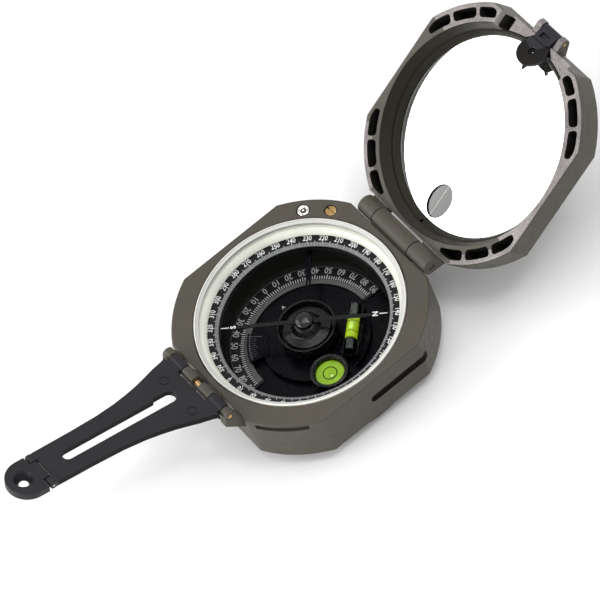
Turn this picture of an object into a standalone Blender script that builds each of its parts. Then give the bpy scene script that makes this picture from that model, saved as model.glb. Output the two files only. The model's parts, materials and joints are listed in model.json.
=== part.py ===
"""Geology compass (pocket transit), modelled open.

Frame: metres, +Z up. The dial axis stands at x = 0, y = DIAL_Y, with the lid hinge towards +Y and
the sight arm towards -Y. Z = 0 is the flat underside of the bottom cover. All sizes below are in
millimetres and are scaled to metres by MM when a shape is built.
"""
import math

import bmesh
import bpy
from mathutils import Matrix, Vector

MM = 0.001

# Overall case
TOP = 21.0              # height of the case's top face
CASE_BOTTOM = 3.9       # lower edge of the case wall
HALF_WIDTH = 35.0       # half the width across the long flats
HALF_LENGTH = 34.5      # half the length across the hinge flats
FLAT_HALF = 17.9        # half the length of a long flat
CORNER_RADIUS = math.hypot(HALF_WIDTH, FLAT_HALF)
HINGE_FLAT_HALF = math.sqrt(CORNER_RADIUS ** 2 - HALF_LENGTH ** 2)
EDGE_CHAMFER = 0.5
DIAL_Y = -2.5           # centres the open instrument on the origin

# Bore of the case, from the top down
OPENING_R = 32.6
GEAR_BORE_R = 33.45
GEAR_BORE_TOP = TOP - 4.9

# Azimuth ring and its pinion
GEAR_MODULE = 0.53504
RING_TEETH = 123
PINION_TEETH = 10
RING_PITCH_R = GEAR_MODULE * RING_TEETH / 2
PINION_PITCH_R = GEAR_MODULE * PINION_TEETH / 2
CORNER_ITEM_R = RING_PITCH_R + PINION_PITCH_R   # lock pin and pinion, from the dial axis
PINION_AZ = -143.2
LOCK_AZ = -129.5

# Dial
RING_INNER_R = 26.1
RING_TOP = TOP - 5.1
RING_BOTTOM = TOP - 7.9
BOWL_TOP = TOP - 8.1
BOWL_R = 33.1
BOWL_INNER_R = 26.9
FLOOR = TOP - 16.6
BOWL_BOTTOM = TOP - 17.6
COVER_TOP = TOP - 17.9
NEEDLE_Z = TOP - 5.7
NEEDLE_AZ = 140.2
NEEDLE_LENGTH = 25.7
LEVER_Z = TOP - 9.2
LEVER_AZ = LOCK_AZ

# Clinometer
CLINO_AZ = -45.0        # direction of the index line
TUBE_AZ = 135.0
TUBE_DISTANCE = 13.8
TUBE_Z = TOP - 10.2
ROUND_LEVEL_AZ = 75.0
ROUND_LEVEL_DISTANCE = 17.2

# Lid
LID_AXIS_Y = 37.8       # from the dial axis
LID_AXIS_Z = TOP - 1.15
LID_ANGLE = 148.8       # opened from closed
LID_CENTRE = 37.6       # hinge axis to the lid's own centre
LID_RIM = 1.75          # rim face above the hinge axis when closed
LID_THICKNESS = 11.0
LID_BACK_CHAMFER = 2.4
LID_RECESS_R = 33.3
MIRROR_FRONT = LID_RIM + 6.45
MIRROR_THICKNESS = 1.2
WELL_STEP = LID_RIM + 4.05  # where the painted cone of the well ends
SADDLE_FLOOR = LID_RIM + 3.75

# Sight arm
ARM_AXIS_Y = -37.45
ARM_AXIS_Z = TOP + 3.2
ARM_RISE = 16.5         # degrees above level, as opened
ARM_BARREL_R = 1.85
ARM_LENGTH = 67.6
TIP_AXIS = 56.2

# Small sight on the lid
SIGHT_AXIS = 37.4       # from the lid's centre, towards the free end
SIGHT_AXIS_T = LID_RIM + 6.4
SIGHT_ANGLE = 27.0      # raised from the lid's plane
SIGHT_REACH = 7.6
SIGHT_DISC_R = 4.9
SIGHT_BARREL_R = 1.55

GAP = 0.3
BIG = 48                # facets of a large circle
MID = 32
SMALL = 20

for old in list(bpy.data.objects):
    bpy.data.objects.remove(old, do_unlink=True)


# ---------------------------------------------------------------- materials
def material(name, colour, roughness, metallic=0.0, transmission=0.0):
    mat = bpy.data.materials.new(name)
    mat.use_nodes = True
    shader = mat.node_tree.nodes["Principled BSDF"]
    shader.inputs["Base Color"].default_value = (*colour, 1.0)
    shader.inputs["Roughness"].default_value = roughness
    shader.inputs["Metallic"].default_value = metallic
    shader.inputs["Transmission Weight"].default_value = transmission
    return mat


OLIVE = material("olive_paint", (0.098, 0.096, 0.066), 0.55, 0.1)
WHITE = material("white_ring", (0.80, 0.80, 0.74), 0.45)
BLACK = material("black_plastic", (0.022, 0.020, 0.024), 0.5)
BLACK_BOWL = material("black_bowl", (0.016, 0.014, 0.012), 0.6)
DIAL = material("dial_black", (0.02, 0.02, 0.02), 0.45)
BRASS = material("brass", (0.62, 0.43, 0.17), 0.3, 1.0)
CHROME = material("chrome", (0.75, 0.74, 0.72), 0.15, 1.0)
STEEL = material("steel", (0.42, 0.42, 0.42), 0.35, 1.0)
GLASS = material("glass", (0.9, 0.95, 0.93), 0.03, 0.0, 1.0)
MIRROR = material("mirror", (0.92, 0.93, 0.93), 0.02, 1.0)
FLUID = material("level_fluid", (0.36, 0.62, 0.05), 0.1, 0.0, 0.4)
RUBBER = material("rubber", (0.03, 0.03, 0.03), 0.8)


# ---------------------------------------------------------------- helpers
def empty(name, location, rotation_x=0.0, parent=None):
    obj = bpy.data.objects.new(name, None)
    bpy.context.scene.collection.objects.link(obj)
    obj.location = [c * MM for c in location]
    obj.rotation_euler = (math.radians(rotation_x), 0.0, 0.0)
    obj.parent = parent
    return obj


def add_object(name, bm, mat, parent, smooth_angle=35.0):
    bmesh.ops.recalc_face_normals(bm, faces=bm.faces)
    mesh = bpy.data.meshes.new(name)
    bm.to_mesh(mesh)
    bm.free()
    mesh.shade_smooth()
    mesh.set_sharp_from_angle(angle=math.radians(smooth_angle))
    if mat is not None:
        mesh.materials.append(mat)
    obj = bpy.data.objects.new(name, mesh)
    bpy.context.scene.collection.objects.link(obj)
    obj.parent = parent
    return obj


def loft(bm, loops, closed=False):
    """Skin a list of equal-length point loops (mm); ends are capped unless the stack closes."""
    rings = [[bm.verts.new(Vector(p) * MM) for p in loop] for loop in loops]
    count = len(loops[0])
    pairs = list(zip(rings, rings[1:]))
    if closed:
        pairs.append((rings[-1], rings[0]))
    for low, high in pairs:
        for i in range(count):
            j = (i + 1) % count
            bm.faces.new((low[i], low[j], high[j], high[i]))
    if not closed:
        bm.faces.new(list(reversed(rings[0])))
        bm.faces.new(rings[-1])


def circle(radius, z, segments, centre=(0.0, 0.0)):
    step = 2 * math.pi / segments
    return [(centre[0] + radius * math.cos(i * step), centre[1] + radius * math.sin(i * step), z)
            for i in range(segments)]


def disc_stack(name, sections, mat, parent, segments=MID, centre=(0.0, 0.0)):
    """Solid of revolution about Z from (radius, z) sections listed bottom to top."""
    bm = bmesh.new()
    loft(bm, [circle(r, z, segments, centre) for r, z in sections])
    return add_object(name, bm, mat, parent)


def ring_stack(name, profile, mat, parent, segments=BIG, centre=(0.0, 0.0)):
    """Ring of revolution about Z from a closed (radius, z) profile."""
    bm = bmesh.new()
    loft(bm, [circle(r, z, segments, centre) for r, z in profile], closed=True)
    return add_object(name, bm, mat, parent)


def band(name, outline, inner_radius, low, high, mat, parent):
    """Ring with a free outer outline and a round inner edge."""
    inner = []
    for x, y in outline:
        scale = inner_radius / math.hypot(x, y)
        inner.append((x * scale, y * scale))
    bm = bmesh.new()
    loft(bm, [[(x, y, z) for x, y in loop] for loop, z in ((outline, low), (outline, high),
                                                          (inner, high), (inner, low))], closed=True)
    return add_object(name, bm, mat, parent)


def prism(name, outline, low, high, mat, parent, axis="Z"):
    """Extrude an outline; axis Z takes (x, y) points, axis X takes (y, z) points."""
    bm = bmesh.new()
    if axis == "Z":
        loops = [[(p[0], p[1], h) for p in outline] for h in (low, high)]
    else:
        loops = [[(h, p[0], p[1]) for p in outline] for h in (low, high)]
    loft(bm, loops)
    return add_object(name, bm, mat, parent)


def rod(name, radius, low, high, mat, parent, y=0.0, z=0.0, segments=SMALL):
    """Round rod along X."""
    step = 2 * math.pi / segments
    outline = [(y + radius * math.cos(i * step), z + radius * math.sin(i * step))
               for i in range(segments)]
    return prism(name, outline, low, high, mat, parent, axis="X")


def block(name, low, high, parent):
    bm = bmesh.new()
    loft(bm, [[(low[0], low[1], z), (high[0], low[1], z), (high[0], high[1], z),
               (low[0], high[1], z)] for z in (low[2], high[2])])
    return add_object(name, bm, None, parent)


def boolean(target, tool, operation):
    tool.hide_render = True
    tool.display_type = "WIRE"
    mod = target.modifiers.new(tool.name, "BOOLEAN")
    mod.operation = operation
    mod.solver = "EXACT"
    mod.object = tool


def cut(target, tool):
    boolean(target, tool, "DIFFERENCE")


def join(target, tool):
    boolean(target, tool, "UNION")


def polar(radius, az):
    """Point at a compass azimuth on the dial: 0 towards -Y, 90 towards +X."""
    a = math.radians(az)
    return (radius * math.sin(a), -radius * math.cos(a))


def arc(radius, start, end, steps, centre=(0.0, 0.0)):
    """Points along a circular arc, angles in degrees from +X."""
    points = []
    for i in range(steps + 1):
        a = math.radians(start + (end - start) * i / steps)
        points.append((centre[0] + radius * math.cos(a), centre[1] + radius * math.sin(a)))
    return points


def case_plan(inset=0.0, steps=9):
    """Outline shared by case and lid: four flats joined by arcs about the dial axis."""
    radius = CORNER_RADIUS - inset
    width = HALF_WIDTH - inset
    length = HALF_LENGTH - inset
    low = math.degrees(math.acos(width / radius))
    high = math.degrees(math.asin(length / radius))
    points = []
    for quadrant in range(4):
        start, end = (low, high) if quadrant % 2 == 0 else (180 - high, 180 - low)
        turn = 0 if quadrant < 2 else 180
        points += arc(radius, start + turn, end + turn, steps)
    return points


def gear_outline(teeth, pitch_radius, addendum, dedendum, phase):
    """Stub gear teeth: four points per tooth on root and tip circles."""
    pitch = 2 * math.pi / teeth
    root = 0.25 * pitch
    tip = 0.11 * pitch
    points = []
    for i in range(teeth):
        middle = i * pitch + phase
        for angle, radius in ((-root, pitch_radius - dedendum), (-tip, pitch_radius + addendum),
                              (tip, pitch_radius + addendum), (root, pitch_radius - dedendum)):
            points.append((radius * math.cos(middle + angle), radius * math.sin(middle + angle)))
    return points


def turned(points, degrees):
    a = math.radians(degrees)
    return [(x * math.cos(a) - y * math.sin(a), x * math.sin(a) + y * math.cos(a))
            for x, y in points]


# ---------------------------------------------------------------- frames
dial = empty("dial_frame", (0.0, DIAL_Y, 0.0))
lid = empty("lid_frame", (0.0, LID_AXIS_Y, LID_AXIS_Z), -LID_ANGLE, dial)
sight = empty("lid_sight_frame", (0.0, -(LID_CENTRE + SIGHT_AXIS), SIGHT_AXIS_T), -SIGHT_ANGLE, lid)
arm = empty("arm_frame", (0.0, ARM_AXIS_Y, ARM_AXIS_Z), -ARM_RISE, dial)
tip = empty("tip_frame", (0.0, -TIP_AXIS, 0.2), 0.0, arm)

# ---------------------------------------------------------------- base case
plan = case_plan()
inner_plan = case_plan(EDGE_CHAMFER)
bm = bmesh.new()
loft(bm, [[(x, y, CASE_BOTTOM) for x, y in inner_plan],
          [(x, y, CASE_BOTTOM + EDGE_CHAMFER) for x, y in plan],
          [(x, y, TOP - EDGE_CHAMFER) for x, y in plan],
          [(x, y, TOP) for x, y in inner_plan]])
base_case = add_object("base_case", bm, OLIVE, dial)

# Lugs of the arm hinge: a barrel on a gusset that runs down to the case wall
BARREL_STEPS = 9
arm_lug_profile = [(-34.0, TOP - 1.0), (-34.0, TOP - 6.6), (-40.0, TOP + 0.4)]
arm_lug_profile += arc(ARM_BARREL_R, 200, -10, BARREL_STEPS, (ARM_AXIS_Y, ARM_AXIS_Z))
ARM_LUGS = ((-15.9, -13.05), (-6.5, -1.5), (1.5, 6.5), (13.05, 15.9))
for number, (low, high) in enumerate(ARM_LUGS):
    join(base_case, prism(f"arm_lug_{number}", arm_lug_profile, low, high, None, dial, axis="X"))

# Central knuckle of the lid hinge, carried on a ledge below the top edge
KNUCKLE_R = 3.05
LEFT_SEAM = -9.4
RIGHT_SEAM = 7.4
knuckle_profile = [(33.5, TOP - 1.6), (34.9, TOP - 0.7)]
knuckle_profile += arc(KNUCKLE_R, 150, -90, 12, (LID_AXIS_Y, LID_AXIS_Z))
knuckle_profile += [(34.3, TOP - 7.4), (33.5, TOP - 7.4)]
join(base_case, prism("lid_knuckle", list(reversed(knuckle_profile)), LEFT_SEAM, RIGHT_SEAM, None, dial,
                      axis="X"))

case_bore = disc_stack("case_bore_cutter", [(GEAR_BORE_R, 0.0), (GEAR_BORE_R, GEAR_BORE_TOP),
                                            (OPENING_R, GEAR_BORE_TOP), (OPENING_R, TOP + 5.0)],
                       None, dial, BIG)
cut(base_case, case_bore)

# Bores for the two hinge pins
cut(base_case, rod("arm_pin_bore", 0.9, -20, 20, None, dial, ARM_AXIS_Y, ARM_AXIS_Z, 16))
cut(base_case, rod("lid_pin_bore", 1.05, -20, 20, None, dial, LID_AXIS_Y, LID_AXIS_Z, 16))

# Straight clamp slot along each long flat
SLOT_Z = TOP - 8.2
for side in (-1, 1):
    low, high = sorted((side * 33.95, side * 36.0))
    cut(base_case, block(f"flat_slot_{side}", (low, -17.2, SLOT_Z - 0.85), (high, 17.2, SLOT_Z + 0.85),
                         dial))

# Short curved slot under the top edge of the corner arc beside the sight arm
slot_arc = arc(CORNER_RADIUS - 0.9, -58, -34, 8) + arc(CORNER_RADIUS + 1.0, -34, -58, 8)
cut(base_case, prism("arc_slot", slot_arc, TOP - 2.3, TOP - 1.0, None, dial))

# Bores of the lock pin: button, spring, stem, and the pocket for the end of the lift lever
lock_xy = polar(CORNER_ITEM_R, LOCK_AZ)
pinion_xy = polar(CORNER_ITEM_R, PINION_AZ)
cut(base_case, disc_stack("lock_bore", [(1.75, TOP - 6.8), (1.75, TOP - 3.6), (2.15, TOP - 3.6),
                                        (2.15, TOP + 2.0)], None, dial, SMALL, lock_xy))
cut(base_case, disc_stack("lock_stem_bore", [(1.15, TOP - 9.0), (1.15, TOP - 6.0)], None, dial, SMALL,
                          lock_xy))
pocket = [(32.0, -1.5), (37.2, -1.5), (37.2, 1.5), (32.0, 1.5)]
cut(base_case, prism("lever_pocket", turned(pocket, LOCK_AZ - 90), TOP - 11.6, TOP - 8.2, None, dial))

# Chamber of the pinion
cut(base_case, disc_stack("pinion_bore", [(2.1, TOP - 12.0), (2.1, TOP - 7.9), (3.2, TOP - 7.9),
                                          (3.2, TOP - 5.2)], None, dial, MID, pinion_xy))
cut(base_case, disc_stack("pinion_head_bore", [(1.15, TOP - 6.0), (1.15, TOP - 2.2), (1.95, TOP - 2.2),
                                               (1.95, TOP + 2.0)], None, dial, SMALL, pinion_xy))

# ---------------------------------------------------------------- bowl and bottom cover
bowl = disc_stack("dial_bowl", [(BOWL_R, BOWL_BOTTOM), (BOWL_R, BOWL_TOP)], BLACK_BOWL, dial, BIG)
cut(bowl, disc_stack("bowl_cutter", [(25.6, FLOOR), (26.6, FLOOR + 1.0), (BOWL_INNER_R, FLOOR + 2.4),
                                     (BOWL_INNER_R, TOP)], None, dial, BIG))
cut(bowl, disc_stack("bowl_shaft_hole", [(2.7, 0.0), (2.7, TOP)], None, dial, SMALL))
lever_slot = [(25.0, -1.4), (34.0, -1.4), (34.0, 1.4), (25.0, 1.4)]
cut(bowl, prism("lever_slot", turned(lever_slot, LEVER_AZ - 90), TOP - 11.6, TOP, None, dial))

cover = disc_stack("bottom_cover", [(BOWL_R - 0.5, 0.0), (BOWL_R, 0.5), (BOWL_R, COVER_TOP)], OLIVE, dial,
                   BIG)
cut(cover, disc_stack("cover_recess", [(15.6, -1.0), (15.6, 1.9)], None, dial, MID))
cut(cover, disc_stack("cover_shaft_hole", [(2.6, -1.0), (2.6, 8.0)], None, dial, SMALL))
SCREW_RADIUS = 29.6
for number in range(4):
    x, y = polar(SCREW_RADIUS, 45 + 90 * number)
    cut(cover, disc_stack(f"cover_screw_hole_{number}", [(2.3, -1.0), (2.3, 0.35), (1.25, 1.6),
                                                         (1.25, 8.0)], None, dial, SMALL, (x, y)))
    cut(bowl, disc_stack(f"bowl_screw_hole_{number}", [(1.25, 0.0), (1.25, 8.4)], None, dial, SMALL,
                         (x, y)))
    screw = disc_stack(f"cover_screw_{number + 1}", [(2.0, 0.2), (2.0, 0.5), (0.95, 1.7), (0.95, 7.8)],
                       STEEL, dial, SMALL, (x, y))
    cut(screw, block(f"screw_slot_{number}", (x - 2.5, y - 0.3, -1.0), (x + 2.5, y + 0.3, 0.75), dial))

# ---------------------------------------------------------------- rings over the dial
ring_stack("bezel_ring", [(30.9, TOP - 0.55), (30.9, TOP + 0.05), (31.3, TOP + 0.35), (32.0, TOP + 0.35),
                          (32.3, TOP + 0.1), (32.3, TOP - 1.7), (31.95, TOP - 1.7),
                          (31.95, TOP - 0.55)], WHITE, dial)
disc_stack("crystal", [(31.7, TOP - 1.6), (31.7, TOP - 0.85)], GLASS, dial, BIG)
ring_stack("crystal_gasket", [(31.05, TOP - 2.15), (31.05, TOP - 1.8), (31.75, TOP - 1.8),
                              (31.75, TOP - 2.15)], RUBBER, dial)
ring_stack("reflector_ring", [(29.35, TOP - 4.55), (29.35, TOP - 4.2), (30.75, TOP - 2.4),
                              (32.3, TOP - 2.4), (32.3, TOP - 4.55)], WHITE, dial)

azimuth = ring_stack("azimuth_ring", [(RING_INNER_R, RING_BOTTOM), (RING_INNER_R, TOP - 5.75),
                                      (27.2, RING_TOP), (31.6, RING_TOP), (31.6, RING_BOTTOM)],
                     DIAL, dial)
tooth_band = gear_outline(RING_TEETH, RING_PITCH_R, 0.28, 0.42, math.radians(PINION_AZ - 90))
join(azimuth, band("azimuth_teeth", tooth_band, 30.0, TOP - 7.6, TOP - 5.6, None, dial))

# ---------------------------------------------------------------- dial pinion
pinion_phase = math.radians(PINION_AZ + 90) + math.pi / PINION_TEETH
pinion_teeth = [(x + pinion_xy[0], y + pinion_xy[1])
                for x, y in gear_outline(PINION_TEETH, PINION_PITCH_R, 0.28, 0.42, pinion_phase)]
pinion = disc_stack("dial_pinion", [(0.95, TOP - 11.4), (0.95, TOP - 2.0), (1.75, TOP - 2.0),
                                    (1.75, TOP - 0.45)], BRASS, dial, SMALL, pinion_xy)
join(pinion, prism("pinion_teeth", pinion_teeth, TOP - 7.6, TOP - 5.6, None, dial))
cut(pinion, block("pinion_slot", (pinion_xy[0] - 3.0, pinion_xy[1] - 0.28, TOP - 1.1),
                  (pinion_xy[0] + 3.0, pinion_xy[1] + 0.28, TOP + 1.0), dial))
ring_stack("pinion_bearing", [(1.2, TOP - 11.8), (1.2, TOP - 8.2), (1.95, TOP - 8.2),
                              (1.95, TOP - 11.8)], BRASS, dial, SMALL, pinion_xy)

# ---------------------------------------------------------------- needle lock
LOCK_TRAVEL = 0.9
disc_stack("lock_pin", [(0.9, TOP - 8.4), (0.9, TOP - 2.2), (1.95, TOP - 2.2), (1.95, TOP - 0.25),
                        (1.6, TOP + 0.1), (0.9, TOP + 0.28)], CHROME, dial, SMALL, lock_xy)


def coil(name, radius, wire, low, high, turns, mat, parent, centre):
    """Round wire wound about a vertical axis."""
    curve = bpy.data.curves.new(name, "CURVE")
    curve.dimensions = "3D"
    curve.bevel_depth = wire * MM
    curve.bevel_resolution = 1
    curve.use_fill_caps = True
    steps = 12 * turns
    spline = curve.splines.new("POLY")
    spline.points.add(steps)
    for i in range(steps + 1):
        a = 2 * math.pi * i / 12
        z = low + (high - low) * i / steps
        spline.points[i].co = ((centre[0] + radius * math.cos(a)) * MM,
                               (centre[1] + radius * math.sin(a)) * MM, z * MM, 1.0)
    obj = bpy.data.objects.new(name, curve)
    bpy.context.scene.collection.objects.link(obj)
    curve.materials.append(mat)
    obj.parent = parent
    return obj


coil("lock_spring", 1.36, 0.17, TOP - 6.5, TOP - 2.5, 5, STEEL, dial, lock_xy)

LEVER_PIVOT_R = 30.0
lever = empty("lift_lever_frame", (*polar(LEVER_PIVOT_R, LEVER_AZ), LEVER_Z), 0.0, dial)
lever.rotation_euler[2] = math.radians(LEVER_AZ)
lever_profile = [(-5.2, -0.4), (-1.2, -0.4), (-0.6, -1.0), (0.6, -1.0), (1.2, -0.4), (20.6, -0.3),
                 (20.6, 0.35), (1.2, 0.4), (0.6, 1.0), (-0.6, 1.0), (-1.2, 0.4), (-5.2, 0.4)]
lift_lever = prism("lift_lever", lever_profile, -0.75, 0.75, BLACK, lever, axis="X")
cut(lift_lever, rod("lever_bore", 0.6, -3, 3, None, lever, segments=12))
cut(lift_lever, block("lever_fork", (-0.22, 13.0, -2.0), (0.22, 22.0, 2.0), lever))
rod("lever_pivot_pin", 0.53, -2.6, 2.6, STEEL, lever, segments=12)
cut(bowl, rod("bowl_lever_bore", 0.6, -3.0, 3.0, None, lever, segments=12))

# ---------------------------------------------------------------- clinometer
scale_points = arc(25.3, 87, 273, 40) + arc(19.2, 273, 87, 40)
prism("clinometer_scale", scale_points, FLOOR + 0.12, FLOOR + 0.6, DIAL, dial)

shaft = disc_stack("clinometer_shaft", [(1.35, 0.95), (1.35, 1.8), (2.3, 1.8), (2.3, 4.9), (4.4, 4.9),
                                        (4.4, 5.35), (2.35, 5.35), (2.35, 6.3)], STEEL, dial, SMALL)
cut(shaft, disc_stack("shaft_thread", [(0.75, 0.0), (0.75, 3.6)], None, dial, 12))
ring_stack("shaft_washer", [(2.95, FLOOR + 0.1), (2.95, FLOOR + 0.4), (5.2, FLOOR + 0.4),
                            (5.2, FLOOR + 0.1)], STEEL, dial, SMALL)

clino = empty("clinometer_frame", (0.0, 0.0, 0.0), 0.0, dial)
clino.rotation_euler[2] = math.radians(CLINO_AZ)
LEVER_LENGTH = 11.5
lever_outline = arc(3.4, -60, 240, 14) + [(-2.0, -LEVER_LENGTH)]
lever_outline += arc(2.4, 190, 350, 8, (0.0, -LEVER_LENGTH)) + [(2.0, -LEVER_LENGTH)]
knob = prism("clinometer_lever", lever_outline, 0.4, 1.6, BLACK, clino)
cut(knob, disc_stack("knob_bore", [(2.25, -1.0), (2.25, 1.0), (1.55, 1.0), (1.55, 3.0)], None, clino,
                     SMALL))
screw = disc_stack("lever_screw", [(1.95, 0.25), (1.95, 0.8), (0.6, 0.8), (0.6, 3.3)], STEEL, clino,
                   SMALL)
cut(screw, block("lever_screw_slot", (-2.5, -0.25, -1.0), (2.5, 0.25, 0.5), clino))

CARRIER_LOW = FLOOR + 1.2
CARRIER_TOP = FLOOR + 1.9
# In the clinometer's own frame 0 is the index direction and azimuths run towards +X
carrier_steps = ((-37, 100, 15.3), (97, 143, 23.4), (146, 217, 18.2), (220, 320, 9.2))
carrier_outline = []
for start, end, radius in carrier_steps:
    carrier_outline += [polar(radius, start + (end - start) * i / 8) for i in range(9)]
carrier = prism("clinometer_carrier", carrier_outline, CARRIER_LOW, CARRIER_TOP, BLACK, clino)
cut(carrier, disc_stack("carrier_bore", [(2.6, 0.0), (2.6, TOP)], None, clino, SMALL))
vernier_outline = [polar(19.7, -3 + 30 * i / 10) for i in range(11)]
vernier_outline += [polar(13.2, 27 - 30 * i / 10) for i in range(11)]
prism("vernier_plate", vernier_outline, CARRIER_TOP + 0.1, CARRIER_TOP + 0.5, DIAL, clino)

# Tube level: lies across the direction opposite the index
tube = empty("tube_frame", (0.0, TUBE_DISTANCE, TUBE_Z), 0.0, clino)
TUBE_R = 2.0
tube_holder = prism("tube_holder", [(-2.4, CARRIER_TOP + 0.1 - TUBE_Z), (2.4, CARRIER_TOP + 0.1 - TUBE_Z),
                                    (2.4, -0.6), (-2.4, -0.6)], -8.3, 8.3, BLACK, tube, axis="X")
cut(tube_holder, rod("holder_groove", TUBE_R + 0.15, -9, 9, None, tube, segments=SMALL))
cut(tube_holder, block("holder_window", (-3.9, -5.0, -2.6), (3.9, 5.0, 3.0), tube))
vial = rod("tube_vial", TUBE_R, -8.0, 8.0, GLASS, tube, segments=SMALL)
cut(vial, rod("vial_bore", 1.55, -9.0, 9.0, None, tube, segments=SMALL))
rod("tube_fluid", 1.4, -3.7, 3.7, FLUID, tube, segments=16)
for number, side in enumerate((-1, 1)):
    low, high = sorted((side * 3.9, side * 7.9))
    rod(f"vial_plug_{number + 1}", 1.4, low, high, STEEL, tube, segments=16)

# Round level on the same carrier
level_az = ROUND_LEVEL_AZ - CLINO_AZ
level_xy = polar(ROUND_LEVEL_DISTANCE, level_az)
cup = disc_stack("round_level_cup", [(5.7, CARRIER_TOP + 0.1), (5.9, CARRIER_TOP + 0.5),
                                     (5.9, TOP - 9.7), (5.6, TOP - 9.3), (5.0, TOP - 9.3),
                                     (4.8, TOP - 9.6)], BLACK, clino, MID, level_xy)
cut(cup, disc_stack("cup_bore", [(4.5, TOP - 13.6), (4.5, TOP - 9.9), (4.9, TOP - 9.0)], None, clino,
                    MID, level_xy))
disc_stack("round_level_fluid", [(4.35, TOP - 13.4), (4.35, TOP - 11.0)], FLUID, clino, MID, level_xy)
disc_stack("round_level_glass", [(4.35, TOP - 10.85), (4.35, TOP - 10.4), (3.9, TOP - 10.15)], GLASS,
           clino, MID, level_xy)

damping = disc_stack("damping_cup", [(5.5, CARRIER_TOP + 0.15), (8.1, TOP - 12.6), (8.55, TOP - 11.6),
                                     (8.55, TOP - 8.4), (8.3, TOP - 8.2)], BLACK, dial, 40)
cut(damping, disc_stack("damping_bore", [(7.6, TOP - 10.8), (7.9, TOP - 10.4), (7.9, TOP)], None, dial,
                        40))
cut(damping, disc_stack("post_bore", [(0.9, 0.0), (0.9, TOP)], None, dial, 12))
disc_stack("pivot_post", [(0.7, CARRIER_TOP + 0.3), (0.7, TOP - 7.2), (0.1, TOP - 6.1)], STEEL, dial, 12)

# ---------------------------------------------------------------- needle
north = empty("needle_frame", (0.0, 0.0, 0.0), 0.0, dial)
north.rotation_euler[2] = math.radians(NEEDLE_AZ)
HUB_R = 2.4
needle_side = [(0.5, -NEEDLE_LENGTH + 1.6), (0.75, -HUB_R - 1.0)]
hub_right = arc(HUB_R, -60, 60, 6)
needle_outline = [(0.0, -NEEDLE_LENGTH)] + needle_side + hub_right
needle_outline += [(x, -y) for x, y in reversed(needle_side)]
right_half = needle_outline
left_half = [(-x, -y) for x, y in needle_outline]
needle = prism("compass_needle", right_half + left_half, NEEDLE_Z - 0.15, NEEDLE_Z + 0.15, STEEL, north)
cut(needle, disc_stack("needle_bore", [(1.15, 0.0), (1.15, TOP)], None, north, SMALL))
ring_stack("needle_disc", [(7.0, TOP - 9.7), (7.3, TOP - 9.7), (7.3, TOP - 9.3), (4.6, TOP - 8.5),
                           (3.3, TOP - 6.35), (1.5, TOP - 6.05), (1.5, TOP - 6.5), (3.0, TOP - 6.8),
                           (4.3, TOP - 8.9)], BLACK, north, 40)
cap = disc_stack("needle_cap", [(0.95, TOP - 6.3), (0.95, TOP - 5.4), (2.9, TOP - 5.4), (2.9, TOP - 5.0),
                                (2.5, TOP - 4.4), (1.7, TOP - 3.95), (0.6, TOP - 3.75)], BLACK, north,
                 MID)
cut(cap, disc_stack("jewel_recess", [(0.6, TOP - 7.0), (0.55, TOP - 6.3), (0.1, TOP - 5.7)], None, north,
                    12))

# ---------------------------------------------------------------- lid
C = (0.0, -LID_CENTRE)


def lid_loop(inset, z):
    return [(x, y - LID_CENTRE, z) for x, y in case_plan(inset)]


bm = bmesh.new()
loft(bm, [lid_loop(0.4, LID_RIM), lid_loop(0.0, LID_RIM + 0.4),
          lid_loop(0.0, LID_RIM + LID_THICKNESS - LID_BACK_CHAMFER),
          lid_loop(LID_BACK_CHAMFER, LID_RIM + LID_THICKNESS)])
lid_case = add_object("lid_case", bm, OLIVE, lid)

# Outer knuckles of the lid hinge
LID_KNUCKLE_R = KNUCKLE_R - 0.05
lid_knuckle = [(-4.2, 6.6), (-4.2, 2.4), (-3.2, 1.75)]
lid_knuckle += arc(LID_KNUCKLE_R, 158, 405, 12, (0.0, 0.0))
for number, (low, high) in enumerate(((-16.2, LEFT_SEAM - GAP), (RIGHT_SEAM + GAP, 16.2))):
    join(lid_case, prism(f"lid_outer_knuckle_{number}", lid_knuckle, low, high, None, lid, axis="X"))
cut(lid_case, rod("lid_knuckle_bore", 1.05, -20, 20, None, lid, segments=16))

# Lugs of the small sight on the free end wall
sight_y = -(LID_CENTRE + SIGHT_AXIS)
wall_y = -(LID_CENTRE + HALF_LENGTH)
LUG_FRONT = LID_RIM + 4.8
sight_lug = [(wall_y + 0.8, LID_RIM + 10.3), (wall_y + 0.8, LUG_FRONT), (sight_y - 0.5, LUG_FRONT),
             (sight_y - 1.5, LUG_FRONT + 0.9)]
sight_lug += arc(SIGHT_BARREL_R + 0.2, 185, 120, 5, (sight_y, SIGHT_AXIS_T))
for number, (low, high) in enumerate(((-5.9, -3.8), (3.8, 5.9))):
    join(lid_case, prism(f"sight_lug_{number}", sight_lug, low, high, None, lid, axis="X"))
cut(lid_case, rod("sight_pin_bore", 0.62, -8, 8, None, lid, sight_y, SIGHT_AXIS_T, 12))

# Recess for the mirror: a shallow cone, then a wider seat
cut(lid_case, disc_stack("lid_recess", [(LID_RECESS_R + 0.3, LID_RIM - 1.0), (31.8, WELL_STEP),
                                        (32.3, WELL_STEP),
                                        (32.3, MIRROR_FRONT + MIRROR_THICKNESS + GAP)], None, lid, BIG,
                         C))
WINDOW_Y = -(LID_CENTRE - 23.8)
window = [(4.1 * math.cos(2 * math.pi * i / 28), WINDOW_Y + 5.4 * math.sin(2 * math.pi * i / 28))
          for i in range(28)]
cut(lid_case, prism("lid_window", window, LID_RIM, LID_RIM + 20, None, lid))

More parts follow.
